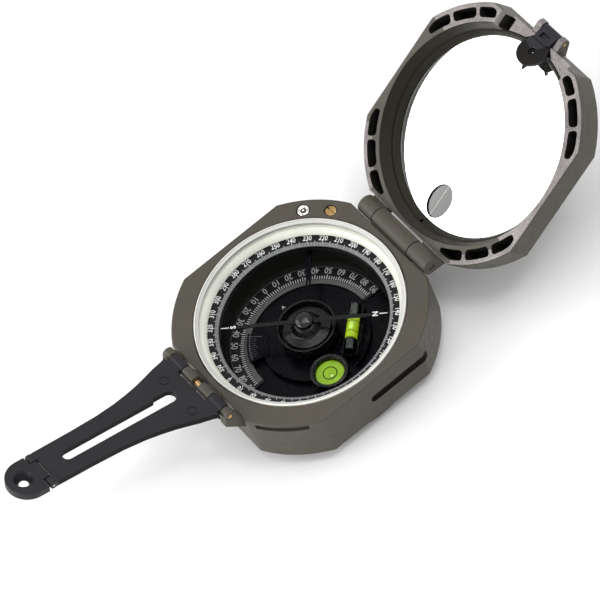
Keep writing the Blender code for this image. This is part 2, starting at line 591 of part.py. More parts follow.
# Saddle across the free end, which clears the folded sight arm, and the notch of the small sight
saddle = [(-15.3, LID_RIM - 0.01), (-13.4, SADDLE_FLOOR), (13.4, SADDLE_FLOOR), (15.3, LID_RIM - 0.01),
          (15.5, LID_RIM - 2.0), (-15.5, LID_RIM - 2.0)]
bm = bmesh.new()
loft(bm, [[(x, y, z) for x, z in saddle] for y in (wall_y - 3.0, wall_y + 9.0)])
cut(lid_case, add_object("saddle_cutter", bm, None, lid))
cut(lid_case, block("sight_notch", (-3.75, wall_y - 3.0, LID_RIM - 1), (3.75, wall_y + 7.0,
                                                                        SIGHT_AXIS_T + 1.0), lid))
for number, (half, start) in enumerate(((4.6, 0.9), (5.4, 1.9))):
    cut(lid_case, block(f"sight_disc_relief_{number}", (-half, wall_y + start, LID_RIM - 1),
                        (half, wall_y + 7.0, SIGHT_AXIS_T + 0.7), lid))

# Lightening pockets: three in each corner of the rim
POCKET_DEPTH = 6.0
POCKET_WALL = 1.4
for corner in (45, 135, 225, 315):
    for offset in (-15, 0, 15):
        middle = corner + offset
        spread = 5.6
        inner = [polar(34.5, middle - spread * 0.86 + 2 * spread * 0.86 * i / 4) for i in range(5)]
        outer = []
        for i in range(7):
            az = middle + spread - 2 * spread * i / 6
            a = math.radians(az)
            limit = min((HALF_WIDTH - POCKET_WALL) / max(abs(math.sin(a)), 0.01),
                        (HALF_LENGTH - POCKET_WALL) / max(abs(math.cos(a)), 0.01))
            radius = min(37.6, limit)
            if i in (0, 6):
                radius -= 0.8
            outer.append(polar(radius, az))
        outline = [(x, y - LID_CENTRE) for x, y in inner + outer]
        cut(lid_case, prism(f"rim_pocket_{middle}", outline, LID_RIM - 1.0, LID_RIM + POCKET_DEPTH, None,
                            lid))
# One deeper recess behind the left pocket of the free end
recess = [(-13.3, wall_y + 0.5), (-11.1, wall_y + 0.5), (-11.1, wall_y + 4.2), (-13.3, wall_y + 4.2)]
cut(lid_case, prism("rim_recess", recess, LID_RIM - 1.0, LID_RIM + 6.5, None, lid))

mirror = disc_stack("mirror_glass", [(32.0, MIRROR_FRONT), (32.0, MIRROR_FRONT + MIRROR_THICKNESS)], MIRROR,
                    lid, BIG, C)
cut(mirror, prism("mirror_window", window, LID_RIM, LID_RIM + 20, None, lid))
cut(mirror, block("mirror_relief", (-5.6, wall_y - 3.0, LID_RIM), (5.6, wall_y + 3.1, LID_RIM + 20), lid))
mirror_ring = ring_stack("mirror_ring", [(30.3, MIRROR_FRONT - 0.2), (31.3, WELL_STEP + GAP),
                                         (32.0, WELL_STEP + GAP), (32.0, MIRROR_FRONT - 0.2)], BLACK, lid,
                         BIG, C)
cut(mirror_ring, block("ring_relief", (-5.6, wall_y - 3.0, LID_RIM), (5.6, wall_y + 9.0,
                                                                     SIGHT_AXIS_T + 1.0), lid))
cut(mirror_ring, block("ring_notch", (-0.8, -6.6, LID_RIM), (0.8, -3.0, LID_RIM + 6.6), lid))

# ---------------------------------------------------------------- pins
rod("lid_hinge_pin", 0.95, -16.0, 16.0, STEEL, dial, LID_AXIS_Y, LID_AXIS_Z, 16)
rod("arm_hinge_pin", 0.82, -15.8, 15.8, BRASS, dial, ARM_AXIS_Y, ARM_AXIS_Z, 16)
rod("lid_sight_pin", 0.54, -5.85, 5.85, BRASS, lid, sight_y, SIGHT_AXIS_T, 12)

# ---------------------------------------------------------------- small sight
SIGHT_HALF_T = 0.6
disc_points = arc(SIGHT_DISC_R, -55, 70, 12, (0.0, SIGHT_REACH))
disc_points += [(1.1, SIGHT_REACH + SIGHT_DISC_R - 0.1), (0.0, SIGHT_REACH + SIGHT_DISC_R + 1.2),
                (-0.6, SIGHT_REACH + SIGHT_DISC_R - 0.05)]
disc_points += arc(SIGHT_DISC_R, 110, 235, 12, (0.0, SIGHT_REACH))
disc_points += [(-2.4, 2.6), (-2.4, 0.5), (2.4, 0.5), (2.4, 2.6)]
lid_sight = prism("lid_sight", disc_points, -SIGHT_HALF_T, SIGHT_HALF_T, BLACK, sight)
join(lid_sight, rod("sight_barrel", 1.45, -3.5, 3.5, None, sight, segments=SMALL))
join(lid_sight, block("sight_root", (-3.4, 0.3, -1.6), (3.4, 4.4, 0.4), sight))
cut(lid_sight, rod("sight_barrel_bore", 0.62, -5, 5, None, sight, segments=12))
cut(lid_sight, disc_stack("sight_hole", [(1.2, -3.0), (1.2, 3.0)], None, sight, SMALL,
                          (0.0, SIGHT_REACH)))

# ---------------------------------------------------------------- sight arm
PLATE_LOW = -0.8
PLATE_HIGH = 1.2
ARM_ROOT = 2.6
arm_half_widths = ((ARM_ROOT, 14.6), (3.0, 13.6), (4.6, 13.0), (8.0, 12.2), (12.0, 10.9), (16.0, 9.7),
                   (20.0, 8.8), (25.0, 7.9), (32.0, 7.2), (42.0, 6.9), (54.4, 6.8))
right_side = [(width, -s) for s, width in arm_half_widths]
FINGER = (6.9, 12.7)
FORK = (3.85, 6.7)
right_side = [(FINGER[0], -ARM_ROOT), (FINGER[0], 0.0), (FINGER[1], 0.0), (FINGER[1], -ARM_ROOT)]
right_side += [(width, -s) for s, width in arm_half_widths]
right_side += [(FORK[1], -TIP_AXIS), (FORK[0], -TIP_AXIS), (FORK[0], -54.4)]
arm_outline = right_side + [(-x, y) for x, y in reversed(right_side)]
sight_arm = prism("sight_arm", arm_outline, PLATE_LOW, PLATE_HIGH, BLACK, arm)
for number, (low, high) in enumerate(((-12.8, -6.8), (6.8, 12.8))):
    join(sight_arm, rod(f"arm_barrel_{number}", ARM_BARREL_R, low, high, None, arm, segments=SMALL))
TIP_BARREL_R = 1.1
TIP_Z = (PLATE_LOW + PLATE_HIGH) / 2
for number, (low, high) in enumerate(((-6.8, -3.75), (3.75, 6.8))):
    join(sight_arm, rod(f"fork_barrel_{number}", TIP_BARREL_R, low, high, None, arm, -TIP_AXIS, TIP_Z, 16))
cut(sight_arm, rod("arm_bore", 0.95, -20, 20, None, arm, segments=16))
cut(sight_arm, rod("tip_bore", 0.5, -10, 10, None, arm, -TIP_AXIS, TIP_Z, 12))
SLOT_HALF = 1.75
slot = [(-SLOT_HALF, -46.6)] + arc(SLOT_HALF, 190, 360, 8, (0.0, -46.6))
slot += arc(2.15, 0, 180, 8, (-0.4, -10.4)) + [(-2.55, -14.4), (-SLOT_HALF, -15.2)]
cut(sight_arm, prism("arm_slot", slot, -5.0, 5.0, None, arm))
rod("tip_pin", 0.43, -6.6, 6.6, STEEL, arm, -TIP_AXIS, TIP_Z, 12)

TIP_R = 6.8
tip_outline = [(TIP_R, -1.5), (-TIP_R, -1.5)]
tip_outline += arc(TIP_R, 180, 360, 16, (0.0, TIP_AXIS - ARM_LENGTH + TIP_R))
sight_tip = prism("sight_tip", tip_outline, -1.6, 1.0, BLACK, tip)
tongue = [(-2.4, -0.9), (-2.4, 0.9)] + arc(TIP_BARREL_R, 100, -100, 10)
join(sight_tip, prism("tip_tongue", tongue, -3.45, 3.45, None, tip, axis="X"))
cut(sight_tip, rod("tongue_bore", 0.5, -5, 5, None, tip, segments=12))
TIP_HOLE_Y = TIP_AXIS - 62.3
cut(sight_tip, disc_stack("tip_hole", [(1.45, -3.0), (1.45, -1.3), (3.0, 1.0), (3.0, 3.0)], None, tip,
                          SMALL, (0.0, TIP_HOLE_Y)))
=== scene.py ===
"""Looks of the geology compass: detailed meshes, procedural materials, dial markings and a studio.

Shapes are written in millimetres in the frame of the part they belong to and moved into the row
frame when a piece is made. Directions on the dial are compass azimuths: 0 towards -Y, 90 towards +X.
"""
import json
import math

import bmesh
import bpy
from mathutils import Matrix, Vector


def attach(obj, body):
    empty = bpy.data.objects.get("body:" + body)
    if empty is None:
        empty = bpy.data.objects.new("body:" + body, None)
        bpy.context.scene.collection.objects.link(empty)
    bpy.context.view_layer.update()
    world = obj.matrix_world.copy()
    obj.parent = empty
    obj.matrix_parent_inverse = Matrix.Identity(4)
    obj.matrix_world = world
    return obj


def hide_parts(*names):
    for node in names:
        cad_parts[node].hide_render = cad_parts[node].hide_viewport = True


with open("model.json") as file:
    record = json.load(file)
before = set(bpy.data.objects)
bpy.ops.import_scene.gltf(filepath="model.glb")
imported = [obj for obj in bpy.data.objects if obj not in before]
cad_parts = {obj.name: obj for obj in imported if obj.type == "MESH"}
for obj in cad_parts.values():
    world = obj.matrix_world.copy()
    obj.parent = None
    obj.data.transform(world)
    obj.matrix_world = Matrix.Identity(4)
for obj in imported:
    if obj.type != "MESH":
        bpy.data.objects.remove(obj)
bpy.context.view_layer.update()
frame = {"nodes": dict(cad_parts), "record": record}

scene = bpy.context.scene
MM = 0.001
ROUND = 160             # facets of a large circle
FINE = 64               # facets of a small circle

# Sizes shared with the CAD model, in mm
TOP = 21.0
CASE_BOTTOM = 3.9
HALF_WIDTH = 35.0
HALF_LENGTH = 34.5
FLAT_HALF = 17.9
CORNER_RADIUS = math.hypot(HALF_WIDTH, FLAT_HALF)
FLOOR = TOP - 16.6
LID_CENTRE = 37.6
LID_RIM = 1.75
LID_THICKNESS = 11.0
MIRROR_FRONT = LID_RIM + 6.45
MIRROR_BACK = MIRROR_FRONT + 1.2
WELL_STEP = LID_RIM + 4.05  # where the painted cone of the well ends
CARRIER_TOP = FLOOR + 1.9
NEEDLE_AZ = 140.2
NEEDLE_LENGTH = 25.7
CLINO_AZ = -45.0
TUBE_DISTANCE = 13.8
TUBE_Z = TOP - 10.2
TUBE_R = 2.0
LOCK_AZ = -129.5
PINION_AZ = -143.2
SIGHT_AXIS = 37.4
SIGHT_ANGLE = 27.0
ARM_LENGTH = 67.6
TIP_AXIS = 56.2

# ---------------------------------------------------------------- frames of the moving parts
joints = {j["name"]: j for j in frame["record"]["behaviour"]["joints"]}


def joint_point(name):
    return Matrix.Translation(Vector(joints[name]["pos_m"]) / MM)


def joint_at(name, axis):
    """One coordinate of a joint in mm: 1 for y, 2 for z."""
    return joints[name]["pos_m"][axis] / MM


def turn(degrees, axis):
    return Matrix.Rotation(math.radians(degrees), 4, axis)


LID_ANGLE = -joints["lid_hinge"]["range_deg"][0]
ARM_RISE = joints["arm_hinge"]["range_deg"][1]
DIAL_Y = joint_at("needle_pivot", 1)
DIAL = Matrix.Translation((0.0, DIAL_Y, 0.0))
LID = joint_point("lid_hinge") @ turn(-LID_ANGLE, "X")
SIGHT = joint_point("sight_hinge") @ turn(-LID_ANGLE - SIGHT_ANGLE, "X")
ARM = joint_point("arm_hinge") @ turn(-ARM_RISE, "X")
TIP = joint_point("tip_hinge") @ turn(-ARM_RISE, "X")
NEEDLE = DIAL @ turn(NEEDLE_AZ, "Z")
CLINO = DIAL @ turn(CLINO_AZ, "Z")
TUBE = CLINO @ Matrix.Translation((0.0, TUBE_DISTANCE, TUBE_Z))
LEVER = joint_point("lifter_rock") @ turn(LOCK_AZ, "Z")
LID_AXIS_Y = joint_at("lid_hinge", 1) - DIAL_Y
LID_AXIS_Z = joint_at("lid_hinge", 2)
ARM_AXIS_Y = joint_at("arm_hinge", 1) - DIAL_Y
ARM_AXIS_Z = joint_at("arm_hinge", 2)
CORNER_ITEM_R = math.hypot(joints["pinion_turn"]["pos_m"][0],
                           joints["pinion_turn"]["pos_m"][1] - DIAL_Y * MM) / MM


# ---------------------------------------------------------------- materials
def colour_ramp(tree, fac, stops):
    """Map a factor to colours between two (position, colour) stops."""
    node = tree.nodes.new("ShaderNodeValToRGB")
    for element, (position, colour) in zip(node.color_ramp.elements, stops):
        element.position = position
        element.color = (*colour, 1.0)
    tree.links.new(fac, node.inputs["Fac"])
    return node.outputs["Color"]


class Shader:
    """Small wrapper for building one procedural Principled material."""

    def __init__(self, name, roughness, metallic=0.0, **sockets):
        self.mat = bpy.data.materials.new(name)
        self.mat.use_nodes = True
        self.tree = self.mat.node_tree
        self.bsdf = self.tree.nodes["Principled BSDF"]
        self.bsdf.inputs["Roughness"].default_value = roughness
        self.bsdf.inputs["Metallic"].default_value = metallic
        for key, value in sockets.items():
            self.bsdf.inputs[key.replace("_", " ")].default_value = value
        coords = self.tree.nodes.new("ShaderNodeTexCoord")
        self.position = coords.outputs["Object"]

    def noise(self, grain_mm, detail=3.0, stretch=(1.0, 1.0, 1.0)):
        """Noise whose grain is about grain_mm across."""
        mapping = self.tree.nodes.new("ShaderNodeMapping")
        mapping.inputs["Scale"].default_value = stretch
        self.tree.links.new(self.position, mapping.inputs["Vector"])
        node = self.tree.nodes.new("ShaderNodeTexNoise")
        node.inputs["Scale"].default_value = 1.0 / (grain_mm * MM)
        node.inputs["Detail"].default_value = detail
        self.tree.links.new(mapping.outputs["Vector"], node.inputs["Vector"])
        return node.outputs["Fac"]

    def ramp(self, fac, stops):
        return colour_ramp(self.tree, fac, stops)

    def colour(self, socket):
        self.tree.links.new(socket, self.bsdf.inputs["Base Color"])

    def roughness(self, fac, low, high):
        node = self.tree.nodes.new("ShaderNodeMapRange")
        node.inputs["From Min"].default_value = 0.3
        node.inputs["From Max"].default_value = 0.7
        node.inputs["To Min"].default_value = low
        node.inputs["To Max"].default_value = high
        self.tree.links.new(fac, node.inputs["Value"])
        self.tree.links.new(node.outputs["Result"], self.bsdf.inputs["Roughness"])

    def bump(self, fac, height_mm, strength=0.6):
        node = self.tree.nodes.new("ShaderNodeBump")
        node.inputs["Strength"].default_value = strength
        node.inputs["Distance"].default_value = height_mm * MM
        self.tree.links.new(fac, node.inputs["Height"])
        self.tree.links.new(node.outputs["Normal"], self.bsdf.inputs["Normal"])


BLOTCH = 9.0            # mm across one patch of the slow colour drift


def shade(colour, factor):
    return tuple(c * factor for c in colour)


def grained(name, colour, roughness, metallic=0.0, grain=0.3, height=0.02, spread=0.12, specular=0.5):
    """Paint or plastic: slow colour drift, fine speckle, uneven gloss and a fine surface grain."""
    s = Shader(name, roughness, metallic, Specular_IOR_Level=specular)
    slow = s.noise(BLOTCH, 2.0)
    fine = s.noise(grain, 4.0)
    mixer = s.tree.nodes.new("ShaderNodeMix")
    mixer.data_type = "RGBA"
    mixer.blend_type = "MULTIPLY"
    mixer.inputs["Factor"].default_value = 1.0
    s.tree.links.new(s.ramp(slow, ((0.3, shade(colour, 1 - spread / 2)),
                                   (0.7, shade(colour, 1 + spread / 2)))), mixer.inputs["A"])
    s.tree.links.new(s.ramp(fine, ((0.3, (1 - spread,) * 3), (0.7, (1 + spread,) * 3))),
                     mixer.inputs["B"])
    s.colour(mixer.outputs["Result"])
    s.roughness(s.noise(2.5, 3.0), roughness - 0.06, roughness + 0.06)
    s.bump(fine, height)
    return s.mat


def metal(name, colour, roughness, stretch=(1.0, 1.0, 1.0), grain=0.25, tarnish=0.82):
    """Machined metal with fine tool marks and slight tarnish."""
    s = Shader(name, roughness, 1.0)
    marks = s.noise(grain, 3.0, stretch)
    s.colour(s.ramp(s.noise(3.0, 3.0), ((0.3, shade(colour, tarnish)), (0.7, colour))))
    s.roughness(marks, roughness * 0.7, roughness * 1.4)
    s.bump(marks, 0.006, 0.4)
    return s.mat


def clear(name, tint, haze):
    """Thin clear glass: light goes straight through a tint that drifts a little, as if smudged."""
    mat = bpy.data.materials.new(name)
    mat.use_nodes = True
    tree = mat.node_tree
    tree.nodes.remove(tree.nodes["Principled BSDF"])
    through = tree.nodes.new("ShaderNodeBsdfTransparent")
    coords = tree.nodes.new("ShaderNodeTexCoord")
    smudge = tree.nodes.new("ShaderNodeTexNoise")
    smudge.inputs["Scale"].default_value = 90.0
    smudge.inputs["Detail"].default_value = 3.0
    drift = colour_ramp(tree, smudge.outputs["Fac"], ((0.35, shade(tint, 1.0 - haze)), (0.65, tint)))
    tree.links.new(coords.outputs["Object"], smudge.inputs["Vector"])
    tree.links.new(drift, through.inputs["Color"])
    tree.links.new(through.outputs["BSDF"], tree.nodes["Material Output"].inputs["Surface"])
    return mat


OLIVE = grained("olive_enamel", (0.050, 0.044, 0.032), 0.46, 0.0, 0.22, 0.02, 0.12, specular=0.4)
RIM_METAL = grained("bare_casting", (0.175, 0.160, 0.155), 0.45, 0.25, 0.28, 0.05, 0.62)
# Near-black painted shade for the insides of the pockets, the side slot, the recess, the peep hole and the
# mirror's window.
PAINTED_SHADE = grained("pocket_shadow_paint", (0.010, 0.009, 0.008), 0.8, specular=0.15)
WELL = grained("lid_well_paint", (0.014, 0.012, 0.007), 0.5, 0.0, 0.22, 0.015, 0.16, specular=0.2)
WHITE = grained("ivory_ring", (0.80, 0.79, 0.72), 0.38, 0.0, 0.5, 0.004, 0.03)
PLASTIC = grained("black_moulding", (0.011, 0.010, 0.013), 0.42, 0.0, 0.18, 0.018, 0.35, specular=0.27)
# The arm's side faces are painted a darker black as painted shade.
PLASTIC_SIDE_SHADE = grained("moulding_side_shade", (0.003, 0.003, 0.004), 0.5, 0.0, 0.18, 0.018, 0.3, specular=0.12)
SIGHT_PLASTIC = grained("sight_moulding", (0.013, 0.012, 0.016), 0.36, 0.0, 0.18, 0.015, 0.3, specular=0.3)
BOWL_WALL = grained("bowl_lining", (0.009, 0.008, 0.007), 0.55, 0.0, 0.3, 0.01, 0.2, specular=0.15)
NIGHT = grained("inner_black", (0.0025, 0.0025, 0.0045), 0.24, 0.0, 0.6, 0.001, 0.2, specular=0.09)
HUB = grained("hub_black", (0.004, 0.004, 0.005), 0.26, 0.0, 0.4, 0.002, 0.15, specular=0.28)
DOME = grained("polished_dome", (0.004, 0.004, 0.005), 0.10, 0.0, 0.5, 0.001, 0.12, specular=0.55)
IVORY = grained("bezel_ivory", (0.47, 0.47, 0.445), 0.3, 0.0, 0.5, 0.003, 0.04)
FAINT_INK = grained("faint_line", (0.09, 0.09, 0.10), 0.5, 0.0, 0.2, 0.002, 0.1)
DIAL_BLACK = grained("dial_enamel", (0.005, 0.005, 0.006), 0.35, 0.0, 0.3, 0.004, 0.15, specular=0.25)
DIAL_GREY = grained("dial_bevel", (0.085, 0.084, 0.094), 0.45, 0.2, 0.3, 0.004, 0.1)
BAND_GREY = grained("scale_band", (0.085, 0.081, 0.079), 0.5, 0.1, 0.3, 0.004, 0.12)
INK = grained("marking_white", (0.86, 0.86, 0.86), 0.5, 0.0, 0.2, 0.002, 0.05)
DIM_INK = grained("marking_grey", (0.46, 0.46, 0.47), 0.5, 0.0, 0.2, 0.002, 0.08)
BRASS = metal("turned_brass", (0.55, 0.36, 0.15), 0.24)
# Dark steel painted into the lock button's groove as painted shade.
GROOVE_SHADE_STEEL = metal("groove_shade_steel", (0.10, 0.085, 0.075), 0.2)
CHROME = metal("polished_chrome", (0.86, 0.82, 0.78), 0.10)
STEEL = metal("bright_steel", (0.46, 0.46, 0.47), 0.28, (1.0, 1.0, 6.0))
VIAL_CAP = metal("vial_cap_metal", (0.12, 0.12, 0.125), 0.16, grain=1.2)
MIRROR = metal("silvered_mirror", (0.985, 0.985, 0.985), 0.012, tarnish=0.99)
CRYSTAL = clear("clear_crystal", (0.985, 0.99, 0.985), 0.03)
VIAL = clear("vial_glass", (0.95, 0.98, 0.95), 0.06)


def liquid(name, colour, painted_glow):
    """Dyed level liquid with a painted glow, so that it reads bright inside the dark bowl."""
    s = Shader(name, 0.12, 0.0, Specular_IOR_Level=0.6, Coat_Weight=0.4, Emission_Strength=painted_glow)
    drift = s.ramp(s.noise(2.2, 2.0), ((0.3, shade(colour, 0.8)), (0.7, colour)))
    s.colour(drift)
    s.tree.links.new(drift, s.bsdf.inputs["Emission Color"])
    return s.mat


# The liquids and bubbles glow as painted light; the bubbles are painted paler and glow more, as painted
# highlight.
GREEN = liquid("level_liquid", (0.36, 0.56, 0.015), 0.16)
YELLOW = liquid("tube_liquid", (0.56, 0.72, 0.02), 0.25)
BUBBLE = liquid("level_bubble", (0.62, 0.86, 0.14), 0.35)

# Finishes for the CAD nodes that are carried over
SLOT_FINISH = {"olive_paint": OLIVE, "white_ring": WHITE, "black_plastic": PLASTIC,
               "black_bowl": BOWL_WALL, "dial_black": DIAL_BLACK, "brass": BRASS, "chrome": CHROME,
               "steel": STEEL, "glass": VIAL, "mirror": MIRROR, "level_fluid": GREEN,
               "rubber": WHITE}
for entry in frame["record"]["subparts"]:
    node = frame["nodes"][entry["node"]]
    for material_slot in node.material_slots:
        material_slot.link = "OBJECT"
        material_slot.material = SLOT_FINISH[entry["material_slot"]]


# ---------------------------------------------------------------- outlines
def polar(radius, az):
    a = math.radians(az)
    return (radius * math.sin(a), -radius * math.cos(a))


def sweep(radius, start, end, steps):
    """Arc round the dial from one azimuth to another."""
    return [polar(radius, start + (end - start) * i / steps) for i in range(steps + 1)]


def arc(radius, start, end, steps, centre=(0.0, 0.0)):
    points = []
    for i in range(steps + 1):
        a = math.radians(start + (end - start) * i / steps)
        points.append((centre[0] + radius * math.cos(a), centre[1] + radius * math.sin(a)))
    return points


def ring_points(radius, segments=ROUND, centre=(0.0, 0.0)):
    return arc(radius, 0.0, 360.0 * (segments - 1) / segments, segments - 1, centre)


def case_plan(inset=0.0, steps=24):
    radius = CORNER_RADIUS - inset
    width = HALF_WIDTH - inset
    length = HALF_LENGTH - inset
    low = math.degrees(math.acos(width / radius))
    high = math.degrees(math.asin(length / radius))
    points = []
    for quadrant in range(4):
        start, end = (low, high) if quadrant % 2 == 0 else (180 - high, 180 - low)
        turned = 0 if quadrant < 2 else 180
        points += arc(radius, start + turned, end + turned, steps)
    return points


def area(points):
    return sum(a[0] * b[1] - b[0] * a[1] for a, b in zip(points, points[1:] + points[:1])) / 2


def offset(points, distance):
    """Move a closed outline outwards by distance (inwards if negative)."""
    sign = 1.0 if area(points) > 0 else -1.0
    moved = []
    count = len(points)
    for i, point in enumerate(points):
        before = Vector(point) - Vector(points[i - 1])
        after = Vector(points[(i + 1) % count]) - Vector(point)
        before.normalize()
        after.normalize()
        n1 = Vector((before.y, -before.x)) * sign
        n2 = Vector((after.y, -after.x)) * sign
        bisector = n1 + n2
        if bisector.length < 0.2:
            bisector = n1
        bisector.normalize()
        reach = min(2.0, 1.0 / max(0.2, bisector.dot(n1)))
        moved.append((point[0] + bisector.x * distance * reach, point[1] + bisector.y * distance * reach))
    return moved


def rounded(points, radius, steps=4, closed=True):
    """Round the corners of a profile with arcs of about the given radius."""
    result = []
    count = len(points)
    for i, point in enumerate(points):
        if not closed and i in (0, count - 1):
            result.append(point)
            continue
        corner = Vector(point)
        back = Vector(points[i - 1]) - corner
        ahead = Vector(points[(i + 1) % count]) - corner
        reach = min(radius, back.length * 0.45, ahead.length * 0.45)
        start = corner + back.normalized() * reach
        end = corner + ahead.normalized() * reach
        for k in range(steps + 1):
            t = k / steps
            spot = start * (1 - t) ** 2 + corner * 2 * t * (1 - t) + end * t ** 2
            result.append((spot.x, spot.y))
    return result


# ---------------------------------------------------------------- meshes
def added(name, data):
    """New object in the scene."""
    obj = bpy.data.objects.new(name, data)
    scene.collection.objects.link(obj)
    return obj


def mesh_of(bm, name="part"):
    """Turn a bmesh into mesh data and free it."""
    mesh = bpy.data.meshes.new(name)
    bm.to_mesh(mesh)
    bm.free()
    return mesh


def loft(loops, closed=False):
    bm = bmesh.new()
    rings = [[bm.verts.new(point) for point in loop] for loop in loops]
    count = len(loops[0])
    pairs = list(zip(rings, rings[1:]))
    if closed:
        pairs.append((rings[-1], rings[0]))
    for low, high in pairs:
        for i in range(count):
            j = (i + 1) % count
            bm.faces.new((low[i], low[j], high[j], high[i]))
    if not closed:
        bm.faces.new(list(reversed(rings[0])))
        bm.faces.new(rings[-1])
    bmesh.ops.recalc_face_normals(bm, faces=bm.faces)
    return bm


def lathe(profile, segments=ROUND, centre=(0.0, 0.0), closed=False):
    """Solid of revolution about Z; a closed profile makes a ring."""
    return loft([[(x, y, z) for x, y in ring_points(r, segments, centre)] for r, z in profile], closed)


def depths(profile):
    """Turn (radius, depth below the case's top face) points into (radius, z) points."""
    return [(radius, TOP - depth) for radius, depth in profile]


def stacked(outline, levels, axis="Z"):
    """Loft an outline through (growth, height) levels; axis X takes (y, z) outlines."""
    loops = []
    for grow, height in levels:
        points = offset(outline, grow) if grow else outline
        loops.append([(x, y, height) if axis == "Z" else (height, x, y) for x, y in points])
    return loft(loops)


def slab(outline, low, high, edge=0.0, axis="Z"):
    """Extruded outline with rounded edges."""
    steps = ((-1.0, 0.0), (-0.3, 0.3), (0.0, 1.0)) if edge else ((0.0, 0.0),)
    levels = [(grow * edge, low + rise * edge) for grow, rise in steps]
    levels += [(grow * edge, high - rise * edge) for grow, rise in reversed(steps)]
    return stacked(outline, levels, axis)


def punch(outline, low, high, edge=0.2, blind=False):
    """Cutter from low to high with chamfered mouths; a blind one stops at high."""
    levels = [(edge, low - 2.0), (edge, low), (0.0, low + edge)]
    levels += [(0.0, high)] if blind else [(0.0, high - edge), (edge, high), (edge, high + 2.0)]
    return stacked(outline, levels)


def box(low, high):
    return loft([[(low[0], low[1], z), (high[0], low[1], z), (high[0], high[1], z), (low[0], high[1], z)]
                 for z in (low[2], high[2])])


def bar(radius, low, high, y=0.0, z=0.0, edge=0.12):
    """Round bar along X with rounded ends."""
    return slab(ring_points(radius, FINE, (y, z)), low, high, edge, "X")


def bake(obj):
    """Replace an object's mesh with its modifiers' result."""
    depsgraph = bpy.context.evaluated_depsgraph_get()
    mesh = bpy.data.meshes.new_from_object(obj.evaluated_get(depsgraph))
    obj.modifiers.clear()
    obj.data = mesh


def piece(name, bm, matrix, body, materials, replaces=(), cuts=(), joins=(), paint=None,
          angle=32.0):
    """Make one visible piece: boolean, paint faces, place in the row frame and ride its body."""
    obj = added(name, mesh_of(bm, name))
    tools = []
    ordered = [(tool, "UNION") for tool in joins] + [(tool, "DIFFERENCE") for tool in cuts]
    for tool, operation in ordered:
        tool_object = added("tool", mesh_of(tool, "tool"))
        modifier = obj.modifiers.new("boolean", "BOOLEAN")
        modifier.operation = operation
        modifier.solver = "EXACT"
        modifier.object = tool_object
        tools.append(tool_object)
    bake(obj)
    for tool_object in tools:
        bpy.data.objects.remove(tool_object, do_unlink=True)
    mesh = obj.data
    mesh.materials.clear()
    for mat in materials if isinstance(materials, (list, tuple)) else [materials]:
        mesh.materials.append(mat)
    if paint:
        for face in mesh.polygons:
            face.material_index = paint(face.center, face.normal)
    mesh.transform(Matrix.Scale(MM, 4) @ matrix)
    mesh.shade_smooth()
    mesh.set_sharp_from_angle(angle=math.radians(angle))
    weighted = obj.modifiers.new("weighted", "WEIGHTED_NORMAL")
    weighted.keep_sharp = True
    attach(obj, body)
    if replaces:
        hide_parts(*replaces)


def merged(bmeshes):
    """Join several loose bmeshes into one."""
    result = bmesh.new()
    for bm in bmeshes:
        mesh = mesh_of(bm)
        result.from_mesh(mesh)
        bpy.data.meshes.remove(mesh)
    return result


# ---------------------------------------------------------------- base case
OPENING_R = 32.6
levels = [(0.5, CASE_BOTTOM), (0.15, CASE_BOTTOM + 0.15), (0.0, CASE_BOTTOM + 0.5), (0.0, TOP - 0.6),
          (0.12, TOP - 0.25), (0.3, TOP - 0.08), (0.6, TOP)]
case_mesh = loft([[(x, y, z) for x, y in case_plan(inset)] for inset, z in levels])

ARM_BARREL_R = 1.85
lug_profile = [(-34.0, TOP - 1.0), (-34.0, TOP - 6.6), (-40.0, TOP + 0.4)]
lug_profile += arc(ARM_BARREL_R, 200, -10, 24, (ARM_AXIS_Y, ARM_AXIS_Z))
arm_lugs = [slab(lug_profile, low, high, 0.14, "X")
            for low, high in ((-15.9, -13.05), (-6.5, -1.5), (1.5, 6.5), (13.05, 15.9))]
KNUCKLE_R = 3.05
LEFT_SEAM = -9.4
RIGHT_SEAM = 7.4
knuckle_profile = [(33.5, TOP - 1.6), (34.9, TOP - 0.7)]
knuckle_profile += arc(KNUCKLE_R, 150, -90, 36, (LID_AXIS_Y, LID_AXIS_Z))
knuckle_profile += [(34.3, TOP - 7.4), (33.5, TOP - 7.4)]
knuckle = slab(list(reversed(knuckle_profile)), LEFT_SEAM, RIGHT_SEAM, 0.12, "X")

bore = lathe([(33.45, 0.0), (33.45, TOP - 4.9), (OPENING_R, TOP - 4.9), (OPENING_R, TOP - 0.25),
              (OPENING_R + 0.25, TOP), (OPENING_R + 0.25, TOP + 6.0)])
lock_xy = polar(CORNER_ITEM_R, LOCK_AZ)
pinion_xy = polar(CORNER_ITEM_R, PINION_AZ)
ARM_PIN_BORE = 0.9
LID_PIN_BORE = 1.05
cutters = [bore, bar(ARM_PIN_BORE, -20, 20, ARM_AXIS_Y, ARM_AXIS_Z, 0.0),
           bar(LID_PIN_BORE, -20, 20, LID_AXIS_Y, LID_AXIS_Z, 0.0)]
